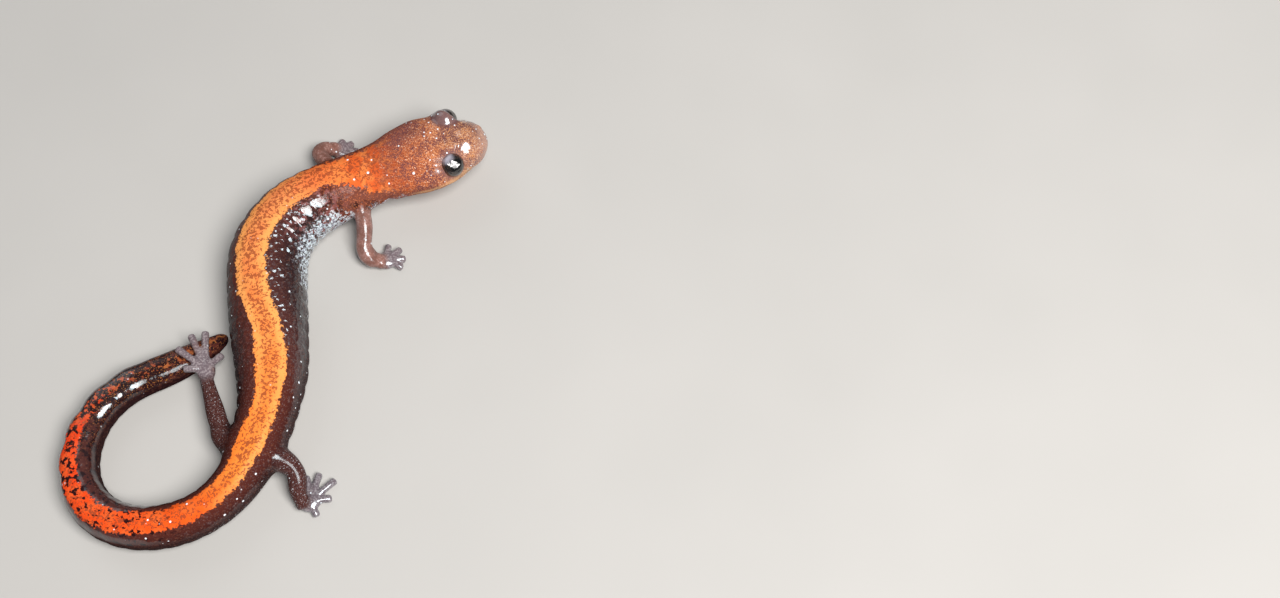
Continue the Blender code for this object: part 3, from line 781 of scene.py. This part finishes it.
def limbDistances(points):
    # Distances to the legs and to the feet, as rows of balls.
    toLeg, toFoot = np.full(len(points), 1e9), np.full(len(points), 1e9)
    for limb, joints in limbJoints.items():
        count = (len(joints) - 1) * limbDetail["perJoint"] + 1
        path, wide, high = (values[:count] for values in limbLine(limb))
        toLeg = np.minimum(toLeg, distanceTo(points, path, (wide + high) / 2))
        heel, front = fromMiddle(soles[limb])
        middle = (heel + front) / 2
        spots = [heel + (front - heel) * t for t in np.linspace(*limbDetail["soleBalls"])]
        for tip in fromMiddle(toeTips[limb]):
            spots += [middle + (tip - middle) * t for t in np.linspace(*limbDetail["toeBalls"])]
        toFoot = np.minimum(toFoot, distanceTo(points, spots, [limbDetail["ball"]] * len(spots)))
    return toLeg, toFoot


stripe = {
    "place": (0, 8, 9.5, 11, 12.5, 14, 16, 20, 24, 27.5, 29, 31, 34, 38, 41, 45, 50, 56, 62, 68, 74, 79.3),
    "half": (60, 60, 54, 47, 36, 30, 29.5, 28, 24, 23, 21.5, 21.5, 25, 24.5, 29, 27, 31, 28, 26, 18, 14, 12),
    "bank": (0, -10, -10, -9, 1, 12, 17, 16, 15, 11, 4, -5, -10, -10, -4, -4, -1, -9, -16, -6, 0, 0),
}


markEdges = {
    "limbNear": (0.7, 0.2), "limbOut": (0.1, 0.9), "footNear": (-0.5, 0.4), "footOut": (0.0, 0.1),
    "footOnly": 0.5, "lid": (0.4, 0.15), "crease": (0.27, 0.13), "lip": (6.0, 6.0),
    "lipSpan": (0.8, 2.2, 7.0, 8.6),
}


def skinMarks(points):
    # What the material follows: place along the body, turn round it, distance from the stripe's edge,
    # and how much of leg, foot, lid and lip each point is.
    edges = markEdges
    place = nearestPlace(points)
    above, across, up = bodyHeight(points, place)
    halfWidth, halfHeight, middleHeight = bodyProfile(place)
    turn = np.degrees(np.arctan2(across / np.maximum(halfWidth, 0.05), up / np.maximum(halfHeight, 0.05)))
    bank, half = (curveThrough(stripe["place"], stripe[name], place) for name in ("bank", "half"))
    edge = np.radians(np.abs(turn - bank) - half) * (halfWidth + halfHeight) / 2
    toLeg, toFoot = limbDistances(points)
    limbNear = smoothStep(*edges["limbNear"], np.minimum(toLeg, toFoot))
    limb = smoothStep(*edges["limbOut"], above) * limbNear
    foot = smoothStep(*edges["footNear"], toLeg - toFoot) * limb
    onFoot = toFoot < toLeg - edges["footOnly"]
    foot = np.where(onFoot, limbNear * smoothStep(*edges["footOut"], above), foot)
    lid, crease = np.zeros(len(points)), np.zeros(len(points))
    for side in (1, -1):
        distance = np.linalg.norm(points - eyeCentre(side), axis=1) - eye["radius"]
        lid = np.maximum(lid, smoothStep(*edges["lid"], distance))
        crease = np.maximum(crease, bump(distance - edges["crease"][0], edges["crease"][1]))
    below, lipHalf = edges["lip"]
    lip = bump(np.abs(turn) - relief["mouth"]["angle"] + below, lipHalf) * within(place, *edges["lipSpan"])
    return {
        "place": place, "turn": turn, "edge": edge, "limb": limb, "foot": foot,
        "lid": lid, "crease": crease, "lip": lip,
    }


def addAttributes(mesh, values):
    for name, numbers in values.items():
        mesh.attributes.new(name, "FLOAT", "POINT").data.foreach_set("value", numbers.astype(np.float32))


def makeSkin():
    # The body's tube with its limbs joined on, and the seams relaxed.
    start, end = bodyPoints(np.array([0.0, bodySizes["length"]]), np.zeros(2), plain=True)
    body = gridMesh("skin", bodyGrid(), start, end)
    print("body of", len(body.vertices), "points")
    raiseRoots(body)
    limbs = {limb: makeLimb(limb) for limb in limbJoints}
    print("limbs of", [len(mesh.vertices) for mesh in limbs.values()], "points")
    mesh = joinLimbs(body, limbs)
    points = readPoints(mesh)
    toLeg, toFoot = limbDistances(points)
    above = bodyHeight(points, nearestPlace(points))[0]
    onSeam = bump(np.abs(above) + np.maximum(toLeg, 0.0), limbDetail["seam"])
    onSeam = onSeam * (toFoot > limbDetail["seamFeet"]) * limbDetail["seamSmooth"]
    points = relax(mesh, points, onSeam, limbDetail["seamRounds"])
    addAttributes(mesh, skinMarks(points))
    writePoints(mesh, points * mm)
    mesh.shade_smooth()
    mesh.calc_loop_triangles()
    print("skin of", len(mesh.vertices), "points and", len(mesh.loop_triangles), "triangles")
    return sceneObject("skin", mesh)


# The eyes


def makeEye(name, side):
    # A ball with a slightly steeper front: its radius grows by a bell of the angle from the look. The
    # wet film lies flatter on top: one less the squared share of its reach, squared, times its depth.
    look, centre = eyeLook(side), eyeCentre(side)
    sideways, upward = squareTo(look)
    fromLook = np.linspace(0, 180, eye["rings"])[1:-1, None, None]
    turn = fullTurn(eye["sides"])[None, :, None]
    radius = eye["radius"] * (eye["back"] + eye["front"] * bump(fromLook, eye["frontHalf"]))
    ring = np.cos(turn) * sideways + np.sin(turn) * upward
    ball = radius * (np.cos(np.radians(fromLook)) * look + np.sin(np.radians(fromLook)) * ring)
    front = centre + look * eye["radius"] * (eye["back"] + eye["front"])
    back = centre - look * eye["radius"] * eye["back"]
    mesh = gridMesh(name, (centre + ball) * mm, front * mm, back * mm)
    points = readPoints(mesh) / mm - centre
    share = np.clip(1 - (anglesFrom(points, eye["flatWay"]) / eye["flatReach"]) ** 2, 0, 1) ** 2
    points = points * (1 - eye["flatDepth"] * share)[:, None]
    writePoints(mesh, (points + centre) * mm)
    # toVeil is the angle from the side where a pale reflection is painted.
    addAttributes(mesh, {"toLook": anglesFrom(points, look), "toVeil": anglesFrom(points, eye["sheenWay"])})
    mesh.shade_smooth()
    return sceneObject(name, mesh)


# Materials


class Wire:
    # One output socket; sums on it add Math nodes to its material.
    def __init__(self, paint, socket):
        self.paint, self.socket = paint, socket

    def sum(self, operation, first, second):
        return self.paint.node("ShaderNodeMath", {"operation": operation}, {0: first, 1: second})

    def __add__(self, other):
        return self.sum("ADD", self, other)

    def __radd__(self, other):
        return self.sum("ADD", other, self)

    def __sub__(self, other):
        return self.sum("SUBTRACT", self, other)

    def __rsub__(self, other):
        return self.sum("SUBTRACT", other, self)

    def __mul__(self, other):
        return self.sum("MULTIPLY", self, other)

    def __rmul__(self, other):
        return self.sum("MULTIPLY", other, self)

    def step(self, low, high):
        # 0 at low and 1 at high, eased.
        inputs = {"Value": self, "From Min": low, "From Max": high}
        return self.paint.node("ShaderNodeMapRange", {"interpolation_type": "SMOOTHSTEP"}, inputs)


class Paint:
    # One material, its look, whose colours are called by their names, and the nodes that feed its shader.
    def __init__(self, name, look, **plain):
        self.material = bpy.data.materials.new(name)
        self.material.use_nodes = True
        self.tree = self.material.node_tree
        self.look, self.shaders = look, []
        self.addShader(self.tree.nodes["Principled BSDF"], plain)
        spot = {"Vector": self.node("ShaderNodeTexCoord", output="Object"), "Scale": 1 / mm}
        self.spot = self.node("ShaderNodeVectorMath", {"operation": "SCALE"}, spot)

    def addShader(self, shader, plain):
        for socket, value in plain.items():
            shader.inputs[socket.replace("_", " ")].default_value = value
        self.shaders.append(shader)

    def coverWith(self, share, **plain):
        # A second shader over the first, where share is 1.
        self.addShader(self.tree.nodes.new("ShaderNodeBsdfPrincipled"), plain)
        first, second = (Wire(self, shader.outputs["BSDF"]) for shader in self.shaders)
        inputs = {"Fac": share, "Shader": first, "Shader_001": second}
        surface = self.node("ShaderNodeMixShader", {}, inputs, "Shader")
        self.tree.links.new(surface.socket, self.tree.nodes["Material Output"].inputs["Surface"])

    def node(self, kind, settings=None, inputs=None, output=0):
        made = self.tree.nodes.new(kind)
        for name, value in (settings or {}).items():
            if name == "stops":
                while len(made.color_ramp.elements) < len(value):
                    made.color_ramp.elements.new(1.0)
                for stop, (position, colour) in zip(made.color_ramp.elements, value):
                    stop.position, stop.color = position, (*colour, 1.0)
            else:
                setattr(made, name, value)
        for name, value in (inputs or {}).items():
            known = {socket.identifier: socket for socket in made.inputs}
            socket = known[name] if name in known else made.inputs[name]
            if isinstance(value, Wire):
                self.tree.links.new(value.socket, socket)
            else:
                socket.default_value = value
        outputs = {socket.identifier: socket for socket in made.outputs}
        return Wire(self, outputs[output] if output in outputs else made.outputs[output])

    def attribute(self, name):
        return self.node("ShaderNodeAttribute", {"attribute_name": name}, output="Fac")

    def noise(self, scale, detail=2.0, rough=0.55, warp=0.0):
        inputs = {"Vector": self.spot, "Scale": scale, "Detail": detail, "Roughness": rough}
        return self.node("ShaderNodeTexNoise", {}, {**inputs, "Distortion": warp}, "Fac")

    def cells(self, scale, output="Distance"):
        return self.node("ShaderNodeTexVoronoi", {}, {"Vector": self.spot, "Scale": scale}, output)

    def ramp(self, value, stops):
        return self.node("ShaderNodeValToRGB", {"stops": stops}, {"Fac": value}, "Color")

    def mix(self, share, first, second):
        first, second = (c if isinstance(c, Wire) else (*self.look[c], 1.0) for c in (first, second))
        inputs = {"Factor_Float": share, "A_Color": first, "B_Color": second}
        return self.node("ShaderNodeMix", {"data_type": "RGBA"}, inputs, "Result_Color")

    def lay(self, colour, *layers):
        # Each layer is a share and a colour, mixed over the ones before it.
        for share, top in layers:
            colour = self.mix(share, colour, top)
        return colour

    def bumps(self, strength, distance, heights):
        inputs = {"Strength": strength, "Distance": distance * mm, "Height": heights}
        return self.node("ShaderNodeBump", {}, inputs, "Normal")

    def feed(self, **links):
        for name, wire in links.items():
            for shader in self.shaders:
                self.tree.links.new(wire.socket, shader.inputs[name.replace("_", " ")])


skinLook = {
    "stripe": (
        (0.00, (0.42, 0.13, 0.05)), (0.11, (0.52, 0.085, 0.022)), (0.17, (0.80, 0.14, 0.030)),
        (0.24, (0.82, 0.25, 0.085)), (0.34, (0.85, 0.24, 0.065)), (0.46, (0.85, 0.23, 0.045)),
        (0.55, (0.86, 0.22, 0.032)), (0.60, (0.80, 0.11, 0.015)), (0.70, (0.80, 0.075, 0.012)),
        (0.80, (0.78, 0.055, 0.012)), (0.90, (0.30, 0.05, 0.018)), (1.00, (0.26, 0.09, 0.03)),
    ),
    "edgeGlow": (1.0, 0.43, 0.12),
    "rearGlow": (1.0, 0.19, 0.015),
    "speck": (0.28, 0.060, 0.025),
    "flank": (0.026, 0.009, 0.009),
    "flankNear": (0.082, 0.020, 0.015),
    "flankSpeck": (0.20, 0.075, 0.045),
    "neckSide": (0.24, 0.075, 0.050),
    # the skin's pale salt flecks, painted brighter and bluer than their pigment as wet glints
    "salt": (0.88, 0.96, 1.0),
    "saltShade": (0.30, 0.28, 0.34),
    # painted reflection: a reddish wet sheen behind the right arm
    "flush": (0.34, 0.11, 0.10),
    "headFront": (0.36, 0.13, 0.076),
    "headRear": (0.31, 0.068, 0.030),
    "headFleck": (0.78, 0.33, 0.13),
    "headDusk": (0.17, 0.060, 0.060),
    "rearFleck": (0.64, 0.185, 0.065),
    "headPale": (0.95, 0.60, 0.42),
    "headDark": (0.12, 0.036, 0.034),
    "snout": (0.50, 0.26, 0.19),
    "tailDark": (0.022, 0.007, 0.008),
    "gold": (0.52, 0.20, 0.05),
    "arm": (0.27, 0.125, 0.098),
    "armLight": (0.50, 0.31, 0.28),
    "armDusk": (0.15, 0.060, 0.044),
    "leg": (0.060, 0.021, 0.018),
    "legLight": (0.150, 0.070, 0.062),
    "foot": (0.17, 0.13, 0.145),
    "footLight": (0.33, 0.28, 0.29),
    "lid": (0.20, 0.115, 0.115),
    "lip": (0.60, 0.36, 0.19),
    "glint": (0.92, 0.95, 1.0),
}


# Stretches of the body, each from the place where it is none to the place where it is all. Where there
# are four places, the other two say the same for its far end.
skinSpans = {
    "snout": (1.7, 0.1), "head": (11.5, 7.5), "headRear": (2.0, 9.0), "headDusk": (4.0, 6.5),
    "headDots": (7.0, 5.0), "offHead": (10.0, 13.0), "neck": (18.0, 13.0), "flush": (24.0, 18.0),
    "behindArm": (13.0, 16.0, 32.0, 24.0), "trunk": (14.0, 22.0, 48.0, 44.0), "hindLegs": (20.0, 30.0),
    "lowDark": (22.0, 30.0), "rearSalt": (25.0, 33.0), "rearStripe": (28.0, 40.0), "lessSalt": (44.0, 54.0),
    "patches": (46.0, 72.0), "darkPatch": (64.0, 68.0, 76.0, 72.0), "gold": (60.0, 69.0),
    "fewerDots": (52.0, 60.0), "dryNeck": (3.4, 4.8, 16.8, 15.4), "dryStripe": (8.0, 10.0, 74.0, 62.0),
    "dryBelow": (8.0, 12.0), "dryTail": (46.0, 54.0), "dryTip": (70.3, 71.5),
    "leftShade": (7.0, 10.0, 52.0, 46.0), "rearFlank": (32.0, 38.0, 54.0, 50.0),
    "armFolds": (12.0, 14.0), "sideFolds": (18.0, 21.0), "folds": (38.0, 32.0),
}
wetSkin = {
    "Roughness": 0.16, "Specular_IOR_Level": 0.7, "Specular_Tint": (0.80, 0.94, 1.0, 1.0), "Coat_Weight": 0.8,
    "Coat_Roughness": 0.08, "Coat_IOR": 1.5, "Coat_Tint": (0.9, 0.97, 1.0, 1.0),
}


class SkinPaint(Paint):
    # The skin's paint: the marks of its mesh, the grains that several colours share, and each part's colour.
    def __init__(self):
        super().__init__("skin", skinLook, Roughness=0.7, Specular_IOR_Level=0.0)
        self.place, self.turn, self.edge = (self.attribute(name) for name in ("place", "turn", "edge"))
        self.limb, self.foot = self.attribute("limb"), self.attribute("foot")
        self.lid, self.crease = self.attribute("lid"), self.attribute("crease")
        self.grain, self.fine = self.noise(6.0), self.noise(9.0)
        self.blotch, self.broad = self.noise(2.4, 3.0), self.noise(0.8)
        self.fromBack = self.node("ShaderNodeMath", {"operation": "ABSOLUTE"}, {0: self.turn})
        self.rightSide = self.turn.step(10.0, -20.0)
        self.behindArm = self.along("behindArm") * self.rightSide
        self.hind, self.trunk = self.along("hindLegs"), self.along("trunk")
        self.ragged = self.edge + (self.noise(1.7) + self.noise(4.6) - 1.0) * (0.7 + self.along("neck") * 1.1)
        self.onStripe = self.ragged.step(0.07, -0.07)
        self.glintDots = self.glintDotShare()

    def along(self, name, wander=None):
        # How much of a stretch of the body a point is in; wander moves its ends about.
        place, ends = self.place + wander if wander else self.place, skinSpans[name]
        share = place.step(*ends[:2])
        return share * place.step(*ends[2:]) if ends[2:] else share

    def stripe(self):
        # Brighter along its edges, dark marks down its middle.
        rear, core = self.along("rearStripe"), self.edge.step(-0.25, -0.95)
        specks = (self.noise(3.9, 2.0, 0.65, 0.6) - core * 0.09).step(0.44, 0.37)
        return self.lay(
            self.ramp(self.place * (1 / bodySizes["length"]), self.look["stripe"]),
            (self.trunk * (1 - core) * (0.7 - rear * 0.3), "edgeGlow"),
            (self.broad.step(0.42, 0.62) * (0.3 - rear * 0.2), "edgeGlow"),
            (self.turn.step(-4.0, 16.0) * rear * self.trunk * 0.6, "rearGlow"),
            (specks * 0.8, "speck"),
        )

    def flank(self):
        # Near black, brown specks above, pale cells below that reach higher behind the arms. The pale cells
        # are the skin's salt flecks, painted brighter and bluer as wet glints; a red wet sheen is painted
        # behind the right arm.
        neck, rear, lessSalt = (self.along(name) for name in ("neck", "rearSalt", "lessSalt"))
        rise = self.behindArm * 38.0 - (1 - self.rightSide) * 16.0 - self.along("lowDark") * 12.0
        low = (self.fromBack + rise + (self.blotch - 0.5) * 34.0).step(76.0, 106.0)
        # Painted reflection: a reddish wet sheen in blotches behind the right arm.
        flush = self.noise(2.6, 2.0).step(0.50, 0.60) * self.behindArm * self.along("flush")
        # The salt flecks also carry a painted highlight: their pale colour stands for wet glints.
        salt = (self.noise(2.8, 3.0, 0.6, 0.4) + low * (0.15 - rear * 0.15)).step(0.59, 0.66)
        salt = salt * (0.03 + self.rightSide * 0.02 + low * (0.85 - rear * 0.45)) * (1 - lessSalt * 0.8)
        specksAndGlintsBelow = self.fine.step(0.60, 0.66) * rear * (0.06 + low * 0.5) * (1 - lessSalt)
        return self.lay(
            self.mix(self.edge.step(0.1, 2.2), "flankNear", "flank"),
            (self.grain.step(0.54, 0.68) * 0.4, "flankSpeck"),
            (neck * self.broad.step(0.36, 0.58) * 0.7, "neckSide"),
            (neck * self.fine.step(0.55, 0.63) * 0.6, "rearFleck"),
            (flush * 0.6, "flush"),
            (salt, self.mix(self.grain.step(0.4, 0.6), "saltShade", "salt")),
            (specksAndGlintsBelow, "salt"),
        )

    def tail(self, colour):
        # The stripe breaks into patches, then gold flecks on black.
        broken = self.along("patches")
        fading = broken * 0.085 + self.along("darkPatch") * 0.08
        dark = (self.blotch + fading).step(0.58, 0.63) * broken.step(0.0, 0.12)
        gold = self.fine.step(0.60, 0.67) * self.along("gold") * self.fromBack.step(85.0, 50.0)
        return self.lay(colour, (dark, "tailDark"), (gold * 0.75, "gold"))

    def head(self):
        # Fine orange and peach flecks on red-brown, dusky patches, a paler snout.
        rear = self.along("headRear")
        patches = (self.noise(0.8, 3.0, 0.6) + rear * 0.02).step(0.45, 0.54)
        dusk = self.turn.step(0.0, 25.0) * self.along("headDusk")
        flecks = (self.noise(9.5, 1.0) - patches * 0.04).step(0.47, 0.57)
        pale = (self.noise(8.0, 1.0) - patches * 0.06 - rear * 0.04).step(0.57, 0.66)
        return self.lay(
            self.mix(rear, "headFront", "headRear"),
            (patches * 0.85, "headDusk"),
            (dusk * 0.8, "headDusk"),
            (flecks * (0.8 - dusk * 0.35), self.mix(rear, "headFleck", "rearFleck")),
            (pale * 0.7, "headPale"),
            (self.noise(7.5, 2.0).step(0.45, 0.36) * 0.5, "headDark"),
            (self.along("snout", (self.broad - 0.5) * 1.5) * 0.6, "snout"),
        )

    def limbs(self):
        # Clouded brown arms, darker hind legs with painted glint specks, grey feet.
        hind = self.hind
        return self.lay(
            self.mix(hind, "arm", "leg"),
            (self.grain.step(0.48, 0.66) * 0.55, self.mix(hind, "armLight", "legLight")),
            (self.noise(1.1, 2.0).step(0.42, 0.58) * (1 - hind) * 0.6, "armDusk"),
            (self.fine.step(0.63, 0.69) * hind * 0.5, "glint"),
            (self.foot * 0.9, self.mix(self.grain.step(0.42, 0.62), "foot", "footLight")),
        )

    def glintDotShare(self):
        # Painted highlights: small bright dots for wet glints on gland bumps, one in a cell where chance
        # allows: few on the stripe, more on the head.
        dots = (self.cells(1.5) + (0.75 - self.cells(1.5, "Color")) * 0.3).step(0.15, 0.09)
        dots = dots * (1 - self.along("fewerDots") * 0.6)
        onHead = self.cells(2.2).step(0.20, 0.13) * self.cells(2.2, "Color").step(0.56, 0.6)
        return dots * (1 - self.onStripe * self.trunk * 0.7) + onHead * self.along("headDots")

    def wetness(self):
        # Least on the stripe, the neck, the undersides, the limbs and the left side, away from the lamp.
        neck = self.along("dryNeck") * (1 - self.lid) * (1 - self.limb * 0.9)
        rearFlank = self.along("rearFlank") * (1 - self.limb)
        stripe = (self.ragged - rearFlank * 1.3).step(0.07, -0.07) * self.along("dryStripe")
        left = self.turn.step(-20.0, 10.0) * self.along("leftShade")
        onTail = self.along("dryTail")
        below = (self.fromBack + onTail * 12.0).step(62.0, 88.0) * self.along("dryBelow")
        below = below * (1 - self.limb) * (1 - self.behindArm) * (0.85 + onTail * 0.12)
        onLimb = self.limb * (1 - self.foot) * (0.3 + self.hind * 0.45)
        lids = (self.lid + self.crease).step(0.0, 0.6) * self.rightSide
        wet = (1 - stripe * 0.97) * (1 - neck * 0.94) * (1 - left * 0.75) * (1 - below) * (1 - onLimb)
        return wet * (1 - self.along("dryTip") * 0.7) * (1 - rearFlank * 0.55) * (1 - lids * 0.9)

    def surface(self):
        # Grains, cells and the bumps under the painted glint dots, folds behind the arms, and slow swells
        # off the head.
        fold = (self.along("armFolds") * 2.6 + self.along("sideFolds") * 3.6) * self.along("folds")
        offHead, cell = self.along("offHead"), self.cells(2.1)
        folds = cell * cell * (1 - self.onStripe) * fold
        swells = self.noise(1.4, 1.0) * offHead * (1 - self.limb)
        grains = self.noise(4.5, 2.0, 0.5) * 0.6 + self.cells(3.6) * 0.3 + self.glintDots * 0.8
        return self.bumps(0.12 + offHead * 0.32 - self.limb * 0.2, 0.07, grains + folds + swells * 3.0)


def skinPaint():
    paint = SkinPaint()
    colour = paint.lay(
        paint.tail(paint.mix(paint.onStripe, paint.flank(), paint.stripe())),
        (paint.along("head", (paint.blotch - 0.5) * 6.0), paint.head()),
        (paint.lid * 0.85, "lid"),
        # Painted shade: the crease round each eye is darkened.
        (paint.crease * 0.7, "headDark"),
        (paint.attribute("lip") * 0.8, "lip"),
        (paint.limb, paint.limbs()),
        # Painted highlights: the glint dots are near-white spots in the colour.
        (paint.glintDots, "glint"),
    )
    paint.coverWith(paint.wetness(), **wetSkin)
    paint.feed(Base_Color=colour, Normal=paint.surface())
    return paint.material


eyeColours = {
    "pupil": (0.003, 0.003, 0.003), "iris": (0.012, 0.009, 0.009), "fleck": (0.11, 0.07, 0.04),
    # the pale sheen is a reflection painted on top of the ball
    "veil": (0.48, 0.45, 0.53), "pupilEdge": (34.0, 40.0), "sheenEdge": (60.0, 28.0),
}
wetEye = {
    "Roughness": 0.16, "Specular_IOR_Level": 0.9, "Coat_Weight": 0.5, "Coat_Roughness": 0.06, "Coat_IOR": 1.6,
}


def eyePaint():
    # A black pupil in a dark flecked iris, and a pale reflection painted over the top of the ball.
    paint, look = Paint("eye", eyeColours, **wetEye), eyeColours
    flecks = paint.noise(7.0, 2.0, 0.6).step(0.50, 0.66)
    # Painted reflection: a pale sheen over the side of the ball that faces up.
    veil = (paint.attribute("toVeil") + paint.noise(2.5, 2.0) * 24.0).step(*look["sheenEdge"])
    iris = paint.mix(flecks * 0.4, "iris", "fleck")
    onIris = paint.attribute("toLook").step(*look["pupilEdge"])
    colour = paint.lay("pupil", (onIris, iris), (veil * 0.75, "veil"))
    paint.feed(Base_Color=colour, Normal=paint.bumps(1.0, 0.4, paint.noise(1.2, 1.0)))
    return paint.material


def floorPaint():
    paint = Paint("floor", floorSizes, Roughness=0.62)
    paint.feed(Base_Color=paint.mix(paint.noise(0.05, 2.0) * 0.3, "colour", "pale"))
    return paint.material


# Putting it together

fleshNodes = [name for name in frame["nodes"] if not name.startswith("eye_")]
skin = makeSkin()
skin.data.materials.clear()
skin.data.materials.append(skinPaint())
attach(skin, "root")
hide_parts(*fleshNodes)
print("skin done")

eyeMaterial = eyePaint()
for name, node, side in (("eyeballLeft", "eye_left", 1), ("eyeballRight", "eye_right", -1)):
    ball = makeEye(name, side)
    ball.data.materials.append(eyeMaterial)
    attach(ball, "root")
    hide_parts(node)
print("eyes done")


def makeFloor():
    reach = floorSizes["reach"] * mm
    corners = [(-reach, -reach, 0.0), (reach, -reach, 0.0), (reach, reach, 0.0), (-reach, reach, 0.0)]
    mesh = bpy.data.meshes.new("floor")
    mesh.from_pydata(corners, [], [(0, 1, 2, 3)])
    mesh.materials.append(floorPaint())
    floor = sceneObject("floor", mesh)
    floor.location.z = -floorSizes["down"] * mm


makeFloor()
